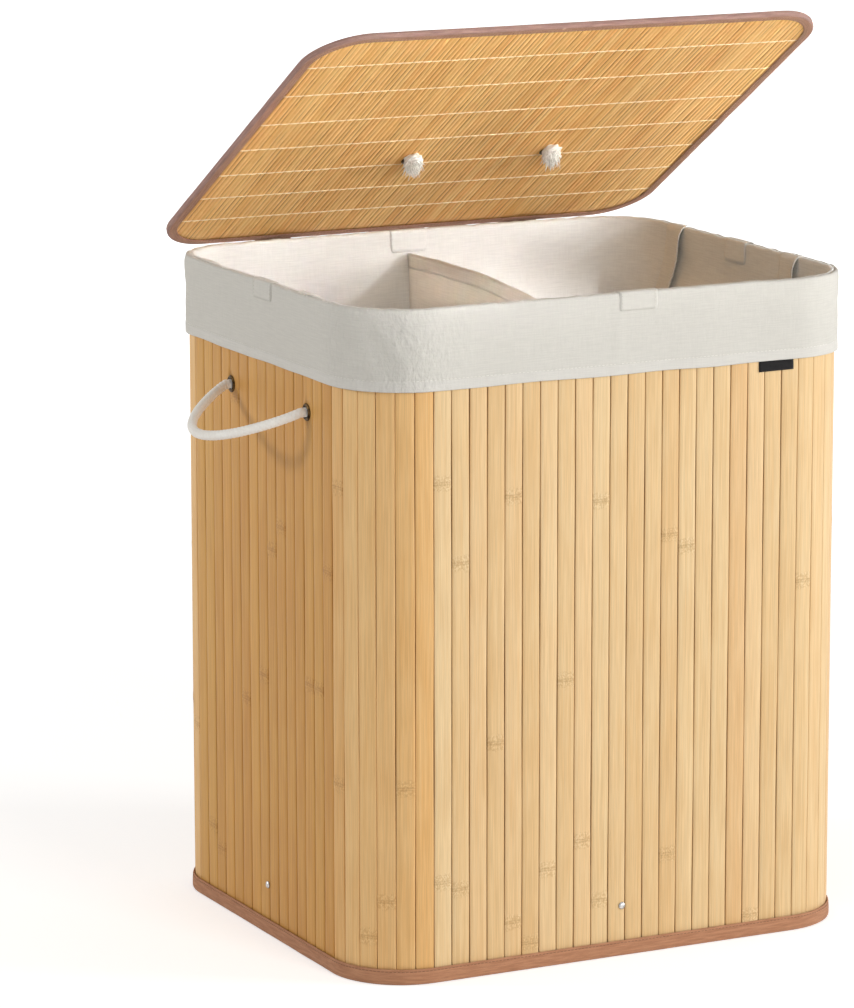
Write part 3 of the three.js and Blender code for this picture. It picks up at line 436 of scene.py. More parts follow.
def cloth(name, base, thread=1.6, slub=0.08, bump=0.3, hem=None, through=0.0, creased=None):
    """Plain woven cotton and linen: fine threads both ways, with thicker slubs along the weft.

    hem is a colour for the folded hem below the sewn line; through is the share of light that passes;
    creased is a place round which the cloth is crumpled."""
    m = Material(name)
    uv = m.uv("grain")
    weave = m.times(m.plus(m.wave(uv, "X", thread, 0.6, 1.0), m.wave(uv, "Y", thread, 0.6, 1.0)), 0.5)
    slubs, cross = m.streaked(uv, 0.045, 0.9, 3.0, 0.65), m.streaked(uv, 0.9, 0.05, 3.0, 0.65)
    threads = m.plus(m.times(slubs, 0.65), m.times(cross, 0.35))
    shade = m.between(threads, 0.36, 0.64, 1.0 - slub, 1.0 + slub * 0.35)
    shade = m.times(shade, m.between(weave, 0.0, 1.0, 0.975, 1.008))
    if hem:
        base = m.mix(m.between(uv[1], 8.4, 9.2, 1.0, 0.0), base, hem)
    color = m.shaded(base, shade)
    normal = None
    if creased:
        place = m.node("TexCoord", 3)
        far = m.node("VectorMath", 1, {"operation": "DISTANCE"}, i0=place, i1=creased)
        wrinkles = m.noise(place, (210, 210, 120), 3.0, 0.6)
        normal = m.bump(m.times(wrinkles, m.between(far, 0.04, 0.085, 1.0, 0.1)), 1.0, 0.0022)
    if through:
        glow = m.node("BsdfTranslucent", 0, None, Color=color)
        m.put(m.out.inputs[0], m.node("MixShader", 0, None, i0=through, i1=m.shader.outputs[0], i2=glow))
    height = m.plus(m.times(weave, 0.5), threads)
    return m.finish(Base_Color=color, Roughness=0.92, Normal=m.bump(height, bump, 0.0004, normal),
                    Sheen_Weight=0.15, Sheen_Roughness=0.5, Specular_IOR_Level=0.2)


def tape(name, base, dark):
    """Ribbed cotton tape: ribs across, and streaks of a darker and a paler colour along it."""
    m = Material(name)
    uv = m.uv("grain")
    weave = m.times(m.plus(m.wave(uv, "X", 1.1, 0.8, 2.0), m.wave(uv, "Y", 0.75, 0.5, 2.0)), 0.5)
    color = m.mix(m.between(m.streaked(uv, 0.05, 0.5, 4.0, 0.6), 0.3, 0.7), dark, base)
    color = m.shaded(color, m.between(weave, 0.1, 0.9, 0.84, 1.06))
    return m.finish(Base_Color=color, Roughness=0.86, Normal=m.bump(weave, 0.6, 0.0004), Sheen_Weight=0.12,
                    Specular_IOR_Level=0.2)


def fibre(name, base, dark):
    """Soft cotton yarn."""
    m = Material(name)
    place = m.node("TexCoord", 3)
    lint, tone = m.noise(place, (900, 900, 900), 4.0, 0.7), m.noise(place, (90, 90, 90), 2.0)
    color = m.mix(m.between(m.plus(m.times(lint, 0.6), m.times(tone, 0.4)), 0.3, 0.7), dark, base)
    return m.finish(Base_Color=color, Roughness=0.95, Normal=m.bump(lint, 0.4, 0.0003), Sheen_Weight=0.3,
                    Specular_IOR_Level=0.15)


def metal(name, base, dark, rough):
    """Stamped metal with tarnish in small patches and fine scratches."""
    m = Material(name)
    place = m.node("TexCoord", 3)
    patch, scratches = m.noise(place, (260, 260, 260), 4.0, 0.65), m.noise(place, (2200, 700, 2200), 2.0)
    return m.finish(Base_Color=m.mix(m.between(patch, 0.35, 0.68), base, dark), Metallic=1.0,
                    Roughness=m.between(patch, 0.3, 0.7, rough, rough + 0.25), Normal=m.bump(scratches, 0.12, 0.0001))


LOOK = {}
for kind, name, colors, settings in (
        # The walls' bamboo is one cane in three copies: the front's paler, the other walls' darker and deeper, the
        # corners' between. The difference is partly a deeper tone and partly painted shade.
        (bamboo, "bamboo_front", ((223, 184, 129), (237, 208, 160)), {}),
        (bamboo, "bamboo_side", ((200, 143, 70), (219, 169, 92)), {}),
        (bamboo, "bamboo_corner", ((224, 172, 104), (243, 202, 142)), {}),
        # The lid's dark lines along its grooves and strip edges are painted shade.
        (bamboo, "bamboo_lid", ((242, 184, 108), (253, 208, 136)),
         {"knots": False, "fine": 1.5, "line": 0.8, "gloss": 0.12}),
        # The backing's deep brown, seen through the gaps between the slats, is partly painted shade in those gaps.
        (cloth, "backing", ((142, 92, 43),), {"slub": 0.2}),
        (cloth, "linen", ((216, 213, 205),),
         {"slub": 0.06, "hem": rgb(220, 217, 210), "creased": (-0.212, -0.178, 0.566)}),
        (cloth, "linen_tab", ((217, 214, 206),), {"slub": 0.06}),
        # The bag is the skirt's own cloth, set much paler: painted light in the shade inside the bins.
        (cloth, "linen_bag", ((246, 245, 241),), {}),
        # The divider, its hem and the webbing are set paler than the skirt's cloth, partly painted light in the shade
        # inside the bins.
        (cloth, "divider", ((251, 246, 238),), {"thread": 1.3, "through": 0.5}),
        (cloth, "divider_hem", ((255, 251, 244),), {"thread": 1.3, "through": 0.1}),
        (cloth, "webbing", ((247, 243, 235),), {"thread": 0.9, "bump": 0.6}),
        (fibre, "thread", ((255, 238, 204), (250, 222, 172)), {}),
        (fibre, "white_thread", ((250, 248, 243), (230, 226, 216)), {}),
        (fibre, "tape_thread", ((150, 104, 74), (122, 80, 54)), {}),
        (fibre, "rope", ((255, 253, 248), (246, 241, 233)), {}),
        (tape, "tape", ((212, 156, 120), (188, 132, 98)), {}),
        (tape, "tape_lid", ((193, 145, 117), (169, 121, 95)), {}),
        (tape, "tape_edge", ((190, 152, 139), (166, 128, 119)), {}),
        (metal, "brass", ((92, 70, 42), (26, 19, 12)), {"rough": 0.34}),
        (metal, "steel", ((214, 214, 214), (140, 138, 134)), {"rough": 0.18}),
        (cloth, "board", ((150, 128, 104),), {"slub": 0.2}),
        (cloth, "black", ((34, 32, 33),), {"thread": 2.0, "slub": 0.3}),
        (tape, "hinge", ((160, 112, 82), (124, 82, 58)), {})):
    LOOK[name] = kind(name, *(rgb(*color) for color in colors), **settings)


# Slatted walls.
SLAT_GAP, CORNER_GAP = 0.8, 0.7
SLAT_BACK, CORNER_BACK = -2.9, -2.85
BACKING_FACE, BACKING_REAR = 3.05, 3.5
SLAT_STEP = 20.0
NO_KNOT = -99.0
KNOT_STEPS = np.array([-9, -5, -2.5, -1, 0, 1, 2.5, 5, 9])


def slat_section(width, inner):
    """Corners of a slat's section as [across, out], going round; its two front edges are eased."""
    h = width / 2
    return np.array([(-h, inner), (-h, -0.75), (-h + 0.14, -0.3), (-h + 0.55, -0.04), (-h / 2, 0), (0, 0.02),
                     (h / 2, 0), (h - 0.55, -0.04), (h - 0.14, -0.3), (h, -0.75), (h, inner)])


def slat(shape, centre, along, out, width, seed, knots=(), inner=SLAT_BACK):
    """One upright slat: its edges wander a little and it swells at its nodes."""
    rng = np.random.default_rng(seed)
    heights = np.linspace(SLAT_LOW, SLAT_HIGH, max(4, int((SLAT_HIGH - SLAT_LOW) / SLAT_STEP)))
    for knot in knots:
        heights = np.unique(np.concatenate([heights, knot + KNOT_STEPS]))
        heights = heights[(heights >= SLAT_LOW) & (heights <= SLAT_HIGH)]
    section = slat_section(width, inner)
    k = rng.uniform(0, TAU, 4)
    sway = 0.14 * np.sin(heights / 71 + k[0]) + 0.09 * np.sin(heights / 29 + k[1])
    swell = 0.12 * np.sin(heights / 43 + k[2])
    puff = sum((np.exp(-((heights - knot) / 4.5) ** 2) * 0.3 for knot in knots), np.zeros_like(heights))
    middles = (heights[1:] + heights[:-1]) / 2
    nearest = [min(knots, key=lambda knot: abs(knot - h)) if knots else NO_KNOT for h in middles]
    mark = np.column_stack([np.full(len(middles), rng.uniform()), nearest])
    depth = (section[:, 1] - inner) / -inner
    across = section[None, :, 0] * (1 + (swell + puff * 0.7)[:, None] / width) + sway[:, None]
    outward = section[None, :, 1] + (puff + 0.08 * np.sin(heights / 90 + k[3]))[:, None] * depth[None, :]
    centre, along, out = (np.array(v, float) for v in (centre, along, out))
    flat = centre + along * across[..., None] + out * outward[..., None]
    points = np.concatenate([flat, np.broadcast_to(heights[:, None, None], across.shape + (1,))], -1)
    u = np.concatenate([section[:, 0] + section[:, 1], [section[0, 0] - 6]])
    shape.grid(points, u, heights, closed=True, mark=mark, caps=True)


# Its dark look is partly painted shade in the gaps between the slats.
def backing(shape, corners):
    """The cloth behind the slats: an upright prism on a flat outline of [x, y]."""
    ends = [SLAT_LOW, SLAT_HIGH]
    points = np.stack([np.column_stack([corners, np.full(len(corners), z)]) for z in ends])
    shape.grid(points, run_along(corners, closed=True), ends, closed=True, slot=1, caps=True)


FRONT_KNOTS = {0: (446, 90), 1: (374, 82), 3: (210,), 4: (429, 45), 5: (24,), 6: (89,), 7: (259,), 8: (111,),
               9: (417, 54), 13: (380, 88), 14: (368,), 18: (20,)}
FRONT_LEFT_KNOTS = {0: (439, 174), 2: (42,), 3: (75,), 4: (177,)}


def knot_heights(rng):
    """About one node for each slat, at a height of its own, some of them under the skirt or above the top."""
    height = float(rng.uniform(40, 800))
    return (height,) if height < 520 else ()


def straight_wall(side):
    turns, width, half = SIDES[side]
    length = width - 2 * CORNER
    count = round(length / SLAT_PITCH[side])
    pitch = length / count
    shape = Shape()
    rng = np.random.default_rng(40 + turns)
    angle = turns * TAU / 4
    along = np.array([math.cos(angle), math.sin(angle)])
    out = np.array([math.sin(angle), -math.cos(angle)])
    for i in range(count):
        at = (i + 0.5) * pitch - length / 2
        knots = FRONT_KNOTS.get(i, ()) if side == "front" else knot_heights(rng)
        slat(shape, along * at + out * half, along, out, pitch - SLAT_GAP, 100 * turns + i, knots)
    end, rear, face = along * length / 2, out * (half - BACKING_REAR), out * (half - BACKING_FACE)
    backing(shape, [end + rear, end + face, -end + face, -end + rear])
    # The front takes the paler copy and the other walls the darker one, partly painted shade.
    look = LOOK["bamboo_front"] if side == "front" else LOOK["bamboo_side"]
    return shape.make(f"slats_{side}", [look, LOOK["backing"]], "basket", [f"wall_{side}"], "bamboo")


def corner_wall(name, sx, sy):
    shape = Shape()
    start = math.atan2(sy, sx) - TAU / 8
    centre = np.array([sx * (WIDTH / 2 - CORNER), sy * (DEPTH / 2 - CORNER)])
    step = TAU / 4 / CORNER_SLATS
    rng = np.random.default_rng(60 + 2 * sx + sy)
    facet = 2 * CORNER * math.sin(step / 2)
    for i in range(CORNER_SLATS):
        a = start + (i + 0.5) * step
        out = np.array([math.cos(a), math.sin(a)])
        along = np.array([-out[1], out[0]])
        middle = centre + out * CORNER * math.cos(step / 2)
        knots = FRONT_LEFT_KNOTS.get(i, ()) if name == "front_left" else knot_heights(rng)
        slat(shape, middle, along, out, facet - CORNER_GAP, 700 + 10 * i + 3 * sx + sy, knots, CORNER_BACK)
    backing(shape, [centre + np.array([math.cos(start + k * step), math.sin(start + k * step)]) * (CORNER - deep)
                    for deep, order in ((BACKING_FACE, range(CORNER_SLATS + 1)),
                                        (BACKING_REAR, range(CORNER_SLATS, -1, -1))) for k in order])
    # The front-right corner takes the front's paler copy and the other corners the copy between, partly painted shade.
    look = LOOK["bamboo_front"] if name == "front_right" else LOOK["bamboo_corner"]
    shape.make(f"slats_{name}", [look, LOOK["backing"]], "basket", [f"corner_{name}"], "bamboo")


BORE, BORE_LENGTH = 5.9, 14.0


def bored(piece, holes):
    """Round holes cut through a finished piece: each is a place and an axis."""
    for at, axis in holes:
        shape = Shape()
        reach = np.array(axis, float) * BORE_LENGTH / 2
        tube(shape, [np.array(at) - reach, np.array(at) + reach], BORE, 28)
        cutter = shape.make("cutter", [], None)
        change = piece.modifiers.new("hole", "BOOLEAN")
        change.operation, change.solver, change.object = "DIFFERENCE", "EXACT", cutter
        mesh = bpy.data.meshes.new_from_object(piece.evaluated_get(bpy.context.evaluated_depsgraph_get()))
        piece.modifiers.clear()
        piece.data = mesh
        bpy.data.objects.remove(cutter)
    return piece


WALLS = {side: straight_wall(side) for side in SIDES}
for corner_name, signs in {"front_left": (-1, -1), "front_right": (1, -1), "back_left": (-1, 1),
                           "back_right": (1, 1)}.items():
    corner_wall(corner_name, *signs)
ENDS = {"left": -1, "right": 1}
for side_name, sign in ENDS.items():
    bored(WALLS[side_name], [((sign * (WIDTH / 2 - 2), EYELET_Y + way * EYELET_HALF, EYELET_Z), (1, 0, 0))
                             for way in (-1, 1)])


# Tape bindings.
TAPE_WAVER = 0.12


def band(name, stations, outline, looks, body, replaces, place=None, seed=1, edge=99.0):
    """A strip folded round an edge: a closed outline of [offset, height] carried round a ring.

    Faces that lie out beyond edge take the second look."""
    points, normals, run = stations
    outline = np.array(outline + outline[:1], float)
    at = np.stack([np.column_stack([points + normals * offset, np.full(len(points), height)])
                   for offset, height in outline])
    wave = ripple(at.reshape(-1, 3), seed, 38).reshape(at.shape[:2]) * TAPE_WAVER
    at[..., :2] += normals[None] * wave[..., None]
    beyond = (outline[1:, 0] + outline[:-1, 0]) / 2 > edge
    shape = Shape()
    shape.grid(place(at[:-1]) if place else at[:-1], run, run_along(outline), closed=True, hoop=True,
               slot=np.repeat(beyond.astype(int), len(points)))
    shape.make(name, looks, body, replaces, "brown_tape")


band("foot_tape", ring(WIDTH, DEPTH, CORNER, 6), [
    (0.35, 1.1), (0.35, 13.4), (0.55, 13.9), (1.0, 14.0), (1.5, 13.7), (1.65, 12.9), (1.6, 11.4), (1.95, 10.6),
    (2.15, 8), (2.2, 4), (2.1, 1.4), (1.6, 0.4), (0.8, 0.02), (-3.6, 0.02), (-4.3, 0.4), (-4.6, 1.2), (-4.6, 14),
    (-3.8, 14), (-3.8, 1.1)], LOOK["tape"], "basket", ["bottom_binding"])


# The cloth liner.
LINER_STEP = 5.0
BAG_FACE, BAG_END = -9.65, -20.85
STRAIGHT, LOOSE, LOW = 575.0, 510.0, 8.4


def fold_bulge(share):
    return 5.0 * (1 - np.cos(share * 4 * math.pi)) / 2


def bag_offset(z, normals, share):
    """How far the bag's cloth lies out from the slats' face at a height; inside is negative."""
    end = BAG_FACE * normals[:, 1] ** 2 + BAG_END * normals[:, 0] ** 2
    slack = 1 - smooth(LOOSE, STRAIGHT, z)
    foot = smooth(LOW, RIM / 2, z)
    return -5.45 * (1 - slack) + end * slack - fold_bulge(share) * slack * foot


def along_share(points, normals):
    """Where a station lies on its straight side, from 0 to 1, and 0 at the corners."""
    on_face, on_end = np.abs(normals[:, 1]) > 0.999, np.abs(normals[:, 0]) > 0.999
    return np.where(on_face, points[:, 0] / (WIDTH - 2 * CORNER) + 0.5,
                    np.where(on_end, points[:, 1] / (DEPTH - 2 * CORNER) + 0.5, 0.0))


# Offset and height of the cloth over the rim; the skirt's look ends after the first few.
RIM_ARC = [(1.95, 597.6), (1.75, 598.8), (1.1, 599.5), (-1.7, 599.6), (-4.3, 599.5), (-5.2, 598.8), (-5.45, 597.4)]
RIM_ON_SKIRT = 4
SKIRT_OUT, SEWN_LINE = 1.95, 537.5


def skirt_swell(at):
    return ripple(at, 5, 85, (1, 1, 2.2)) * 0.42


def liner():
    points, normals, run = ring(WIDTH, DEPTH, CORNER, LINER_STEP)
    share = along_share(points, normals)
    corner = 1 - np.maximum(np.abs(normals[:, 0]), np.abs(normals[:, 1])) ** 8
    left = np.clip(-normals[:, 0], 0, 1) * 0.6 + 0.4
    levels = [("skirt", z) for z in (528.2, 529.2, 531, 533.5, 535.6, 536.6, 537.4, 538.4, 541)]
    levels += [("skirt", z) for z in np.linspace(545, 594, 14)]
    skirt_rows = len(levels) + RIM_ON_SKIRT
    levels += [("rim", k) for k in range(len(RIM_ARC))]
    levels += [("bag", z) for z in np.linspace(593, 520, 18)] + [("bag", z) for z in np.linspace(512, 12, 46)]
    levels += [("floor", k) for k in (0.0, 0.015, 0.04, 0.1, 0.25, 0.5, 0.75, 0.9, 0.97)]
    rows = []
    for kind, value in levels:
        z = np.full(len(points), RIM_ARC[value][1] if kind == "rim" else 4.4 if kind == "floor" else value)
        at = np.column_stack([points, z])
        if kind == "skirt":
            hem = 0.38 * (1 - smooth(536.4, 538.0, value)) - 0.25 * math.exp(-((value - 537.6) / 0.7) ** 2)
            swell = skirt_swell(at) * (1 - smooth(575, 598, value))
            creases = ripple(at, 8, 15, (1, 1, 3)) * 1.5 + ripple(at, 9, 8, (1, 1, 3)) * 0.85
            crumple = creases * corner * left * smooth(528, 545, value) * (1 - 0.4 * smooth(570, 598, value))
            dip = np.where(normals[:, 1] < -0.99, 0.6 * np.exp(-((points[:, 0] + 2) / 1.6) ** 2), 0)
            offset = SKIRT_OUT + hem + np.maximum(swell + crumple + 0.5 * corner * left, -0.55) + dip
            z = z + (ripple(at, 12, 70) * 0.5 if value < 545 else 0)
        elif kind == "rim":
            offset = np.full(len(points), RIM_ARC[value][0])
            rear = smooth(0.3, 0.95, normals[:, 1]) * (1 if z[0] > 599 else 0.6) * 0.7
            z = np.minimum(z + ripple(at, 14, 55) * 0.32 + ripple(at, 15, 14) * 0.3 - 0.2 + rear, 600.1 + 0.5 * rear)
        elif kind == "bag":
            folds = ripple(at, 21, 120, (1, 1, 2.4)) * 2.0 + ripple(at, 22, 46, (1, 1, 3)) * 0.8
            loose = 1 - smooth(560, 596, value)
            offset = bag_offset(value, normals, share) - np.maximum(folds + 1.4, -0.4) * loose
        else:
            offset = bag_offset(LOW, normals, share) - 3
        base = points + normals * offset[:, None]
        if kind == "floor":
            base = base * (1 - value)
            bumps = 0.8 * ripple(np.column_stack([base, z]), 25, 60) + 0.6
            z = z + 1.0 * smooth(0, 0.1, value) + bumps * smooth(0.02, 0.2, value)
        rows.append(np.column_stack([base, z]))
    rows = np.array(rows)
    fall = np.concatenate([[0], np.cumsum(np.linalg.norm(np.diff(rows, axis=0), axis=2).mean(1))])
    shape = Shape()
    shape.grid(rows[:skirt_rows], run, fall[:skirt_rows], closed=True)
    skirt = shape.make("liner_skirt", LOOK["linen"], "basket", [], "linen")
    shape = Shape()
    shape.grid(rows[skirt_rows - 1:], run, fall[skirt_rows - 1:], closed=True)
    # A fan closes the bag's floor round its middle: its faces count back to the last row's points.
    count = len(points)
    shape.add([rows[-1].mean(0)], [(k - count, (k + 1) % count - count, 0) for k in range(count)],
              np.tile([0.0, fall[-1]], (3 * count, 1)))
    # The bag takes the paler copy of the skirt's cloth, painted light.
    bag = shape.make("liner_bag", LOOK["linen_bag"], "basket", ["liner"], "linen")
    for piece in (skirt, bag):
        thicken(piece, 1.05)
    return skirt, bag


skirt_piece, bag_piece = liner()


def stitches(name, places, look, body="basket", length=2.6, radius=0.24, slot="linen"):
    """Short sewn stitches: each place is a middle, a direction and an outward normal."""
    shape = Shape()
    t, sag = np.array([-0.5, -0.3, 0, 0.3, 0.5]), np.array([-0.55, -0.05, 0.12, -0.05, -0.55])
    for middle, way, out in places:
        middle, way, out = (np.array(v, float) for v in (middle, way, out))
        line = middle + way * (t * length)[:, None] + out * (sag * radius / 0.32 * 0.6 + radius * 0.4)[:, None]
        tube(shape, line, radius * np.array([0.7, 1, 1.05, 1, 0.7]), 6)
    shape.make(name, look, body, (), slot)


def hem_stitches():
    points, normals, _ = ring(WIDTH, DEPTH, CORNER, 3.9)
    ahead = np.roll(points, -1, 0) - points
    ahead /= np.linalg.norm(ahead, axis=1)[:, None]
    swell = skirt_swell(np.column_stack([points, np.full(len(points), SEWN_LINE)]))
    stitches("hem_stitches", [((p[0] + n[0] * (2.45 + s), p[1] + n[1] * (2.45 + s), SEWN_LINE), (*a, 0), (*n, 0))
                              for p, n, a, s in zip(points, normals, ahead, swell)],
             LOOK["white_thread"], radius=0.22)


hem_stitches()
# The skirt's upright seam at the middle of the front, and the seam over the divider's rear end.
stitches("seam_stitches", [((-4.6, -DEPTH / 2 - 2.25, z), (0, 0, 1), (0, -1, 0)) for z in np.arange(541, 598, 3.6)]
         + [((x, DEPTH / 2 - 6.3, z), (0, 0, 1), (0, -1, 0)) for x in (-1.6, 1.6) for z in np.arange(580, 597, 3.4)],
         LOOK["white_thread"])
foot_points, foot_normals, _ = ring(WIDTH, DEPTH, CORNER, 3.6)
stitches("foot_stitches", [((p[0] + n[0] * 1.62, p[1] + n[1] * 1.62, 11.9), (-n[1], n[0], 0), (*n, 0))
                           for p, n in zip(foot_points, foot_normals)], LOOK["tape_thread"], slot="brown_tape")


# The divider: a hemmed panel of cloth whose top edge sags.
DIVIDER_HALF, DIVIDER_FOOT = 197, 7.5


def divider():
    ys = np.linspace(-DIVIDER_HALF, DIVIDER_HALF, 61)
    top = np.interp(ys, [-197, -150, -100, -43, 16, 76, 138, 180, 197],
                    [578.5, 574.5, 571.8, 571.5, 574.6, 578.0, 579.6, 578.8, 578.5])
    share = np.concatenate([[0, 0.012, 0.03, 0.1], np.linspace(0.16, 0.94, 20), [0.965, 0.98, 0.986, 0.992, 1.0]])
    rows = []
    for s in share:
        z = DIVIDER_FOOT + (top - DIVIDER_FOOT) * s
        reach = np.interp(z, [7, 12, 510, 575, 600], [193, 199.5, 199.8, 203.5, 203.6])
        y = ys / DIVIDER_HALF * reach
        at = np.column_stack([np.zeros_like(y), y, z])
        hold = (1 - (ys / DIVIDER_HALF) ** 4) * smooth(0, 0.25, s)
        x = (3.2 * np.sin(ys / 96 + 0.6) + 2.4 * ripple(at, 31, 150) + 1.0 * ripple(at, 32, 60)) * hold
        x = x + 2.4 * hold * smooth(0.93, 1.0, s) * np.sin(ys / 60)
        rows.append(np.column_stack([x, y, z]))
    edge = rows[-1]
    shape = Shape()
    shape.grid(np.array(rows), ys, DIVIDER_FOOT + 570 * share)
    piece = shape.make("divider_cloth", LOOK["divider"], "basket", ["divider"], "divider_cloth")
    thicken(piece, 1.5)
    drop = np.linspace(14, 0, 5)
    hem = Shape()
    hem.grid(np.stack([edge - (0, 0, d) + (0, 0, 0.5) for d in drop]), ys, 560 + drop)
    band_piece = hem.make("divider_hem", LOOK["divider_hem"], "basket", (), "divider_cloth")
    thicken(band_piece, 2.9)
    places = []
    for k in np.arange(2, 58, 0.62):
        i, f = int(k), k - int(k)
        p = edge[i] * (1 - f) + edge[i + 1] * f
        way = edge[i + 1] - edge[i]
        places += [((p[0] + sign * 1.5, p[1], p[2] - 11.5), way / np.linalg.norm(way), (sign, 0, 0))
                   for sign in (-1, 1)]
    stitches("divider_stitches", places, LOOK["white_thread"], length=3.0, radius=0.25, slot="divider_cloth")


divider()


# Cloth tabs over the rim.
TAB_WIDE, TAB_OUTER, TAB_INNER = 38.0, 16.0, 20.0
TAB_TOP = 600.84


def on_side(points, side):
    """From [along, out, height] beside a wall to the frame."""
    turns, _, half = SIDES[side]
    flat = np.stack([points[..., 0], -half - points[..., 1], points[..., 2]], -1)
    return turned(flat, turns)


def rim_tab(side, along):
    lift = 0.05 if side == "back" else 0.0
    path = np.array([
        (2.85, RIM - TAB_OUTER), (2.95, 588), (3.0, 596), (2.9, 599.2), (2.2, 600.5 + lift), (1.0, 600.8 + lift),
        (-2, 600.8 + lift), (-5, 600.8 + lift), (-6.3, 600.3 + lift), (-6.8, 598.8), (-6.85, 594), (-7.0, 588),
        (-7.3, RIM - TAB_INNER)])
    rows = np.array([[(along + a, o, h) for a in np.linspace(-TAB_WIDE / 2, TAB_WIDE / 2, 9)] for o, h in path])
    curl = ripple(rows.reshape(-1, 3), 43, 22).reshape(rows.shape[:2]) * 0.2
    edge = np.abs(rows[..., 0] - along) / (TAB_WIDE / 2)
    rows[..., 1] += np.where(rows[..., 1] > 0, 1, -1) * (np.abs(curl) - 0.3 * edge ** 4)
    # The top stays low enough for the shut lid.
    rows[..., 2] = np.minimum(rows[..., 2] + curl * 0.3, np.where(rows[..., 2] > RIM, TAB_TOP, np.inf))
    shape = Shape()
    inside = path[1:, 0] < -5.5
    shape.grid(on_side(rows, side), np.linspace(0, TAB_WIDE, 9), run_along(path), slot=np.repeat(inside.astype(int), 8))
    # The tab's inner part takes the bag's paler copy, painted light.
    piece = shape.make(f"tab_{side}", [LOOK["linen_tab"], LOOK["linen_bag"]], "basket", [f"rim_tab_{side}"], "linen")
    thicken(piece, 0.5, rounded=True)
    out = on_side(np.array([0.0, 1.0, 0.0]), side) - on_side(np.zeros(3), side)
    stitches(f"tab_stitches_{side}", [(on_side(np.array([along + way * 16.4, 3.3, h]), side), (0, 0, 1), out)
                                      for way in (-1, 1) for h in np.arange(RIM - TAB_OUTER + 2, 599, 3.2)],
             LOOK["white_thread"], length=2.4, radius=0.2)


for side_name, place in {"front": 17.0, "back": 0.0, "left": 9.0, "right": 6.5}.items():
    rim_tab(side_name, place)


# Carrying straps of the liner, a U of webbing inside each end wall.
STRAP_HALF, STRAP_MIDDLE, STRAP_WIDE = 105.5, 12.5, 28.0
STRAP_BEND_TOP, STRAP_BEND = 520.0, 45.0
RIM_FRAYS = {"left": (-139.0, 76.0, -93.0), "right": (118.0, -93.0)}
FRAY_LENGTH, FRAY_SPREAD, FRAY_RADIUS, FRAY_TOP = 4.0, 1.2, 0.2, 600.95


def frayed(shape, at, out, seed):
    """Loose threads round a cut end, kept below the shut lid."""
    rng = np.random.default_rng(seed)
    t = np.linspace(0, 1, 5)[:, None]
    for _ in range(6):
        start = np.array(at, float) + rng.normal(size=3) * FRAY_SPREAD * 0.5
        way = np.array(out, float) + rng.normal(size=3) * 0.6
        way = way / np.linalg.norm(way)
        curl = rng.normal(size=3) * 0.5
        line = start + way * t * FRAY_LENGTH * rng.uniform(0.4, 1.0) + curl * t ** 2 * FRAY_LENGTH * 0.5
        line[:, 2] = np.minimum(line[:, 2], FRAY_TOP)
        tube(shape, line, FRAY_RADIUS * np.array([1, 1, 0.9, 0.7, 0.35]), 5)


def carry_strap(side, sign):
    down = np.linspace(597.5, STRAP_BEND_TOP, 22)
    line = [(STRAP_HALF, z, 0.0, -1.0) for z in down]
    for a in np.linspace(0, math.pi, 25)[1:-1]:
        line.append((STRAP_HALF * math.cos(a), STRAP_BEND_TOP - STRAP_BEND * math.sin(a),
                     -STRAP_HALF * math.sin(a), -STRAP_BEND * math.cos(a)))
    line += [(-STRAP_HALF, z, 0.0, 1.0) for z in down[::-1]]
    across = np.linspace(-1, 1, 9)
    rows = []
    for y, z, dy, dz in line:
        way = np.array([-dz, dy]) / math.hypot(dy, dz)
        ys = y + across * STRAP_WIDE / 2 * way[0] + STRAP_MIDDLE
        zs = z + across * STRAP_WIDE / 2 * way[1]
        share = np.clip(ys / (DEPTH - 2 * CORNER) + 0.5, 0, 1)
        out = np.array([bag_offset(min(h, 599.0), np.array([[1.0, 0.0]]), np.array([s]))[0]
                        for h, s in zip(zs, share)]) - 3.6 - 2.6 * (1 - smooth(560, 597, z))
        lean = 3.0 * np.clip(across * np.sign(y) * -1, 0, 1) ** 2 * smooth(480, 590, z) * (1 - smooth(590, 598, z))
        rows.append(np.column_stack([sign * (WIDTH / 2 + out - lean), ys, zs]))
    for end in (0, -1):
        over = []
        for o, h in ((-6.2, 599.9), (-4.6, 600.5), (-2.2, 600.55), (-0.4, 600.3)):
            row = rows[end].copy()
            row[:, 0] = sign * (WIDTH / 2 + o + 0.3 * np.sin(across * 7 + end))
            row[:, 2] = h + 0.1 * np.sin(across * 5 + end)
            over.append(row)
        rows = over[::-1] + rows if end == 0 else rows + over
    rows = np.array(rows)
    run = run_along(rows.mean(1))
    shape = Shape()
    shape.grid(rows, across * STRAP_WIDE / 2, run)
    piece = shape.make(f"strap_{side}", LOOK["webbing"], "basket", [f"carry_strap_{side}"], "linen")
    thicken(piece, 1.0, rounded=True)
    threads = Shape()
    for k, y in enumerate(RIM_FRAYS[side]):
        for j in range(4):
            frayed(threads, (sign * (WIDTH / 2 + 0.2), y + (j - 1.5) * 4.0, 600.2), (sign * 0.8, 0, 0.1),
                   90 + 10 * k + j + 5 * sign)
    threads.make(f"strap_threads_{side}", LOOK["white_thread"], "basket", (), "linen")


for side_name, sign in ENDS.items():
    carry_strap(side_name, sign)


# Rope handles.
def braid(run, angle):
    """Plaited strands: two sets of spirals that cross."""
    turn = run * (TAU / 11.5)
    one, two = np.cos(3 * angle + turn * 3), np.cos(3 * angle - turn * 3)
    return 0.93 + 0.09 * np.maximum(one, two) + 0.02 * np.cos(24 * angle)


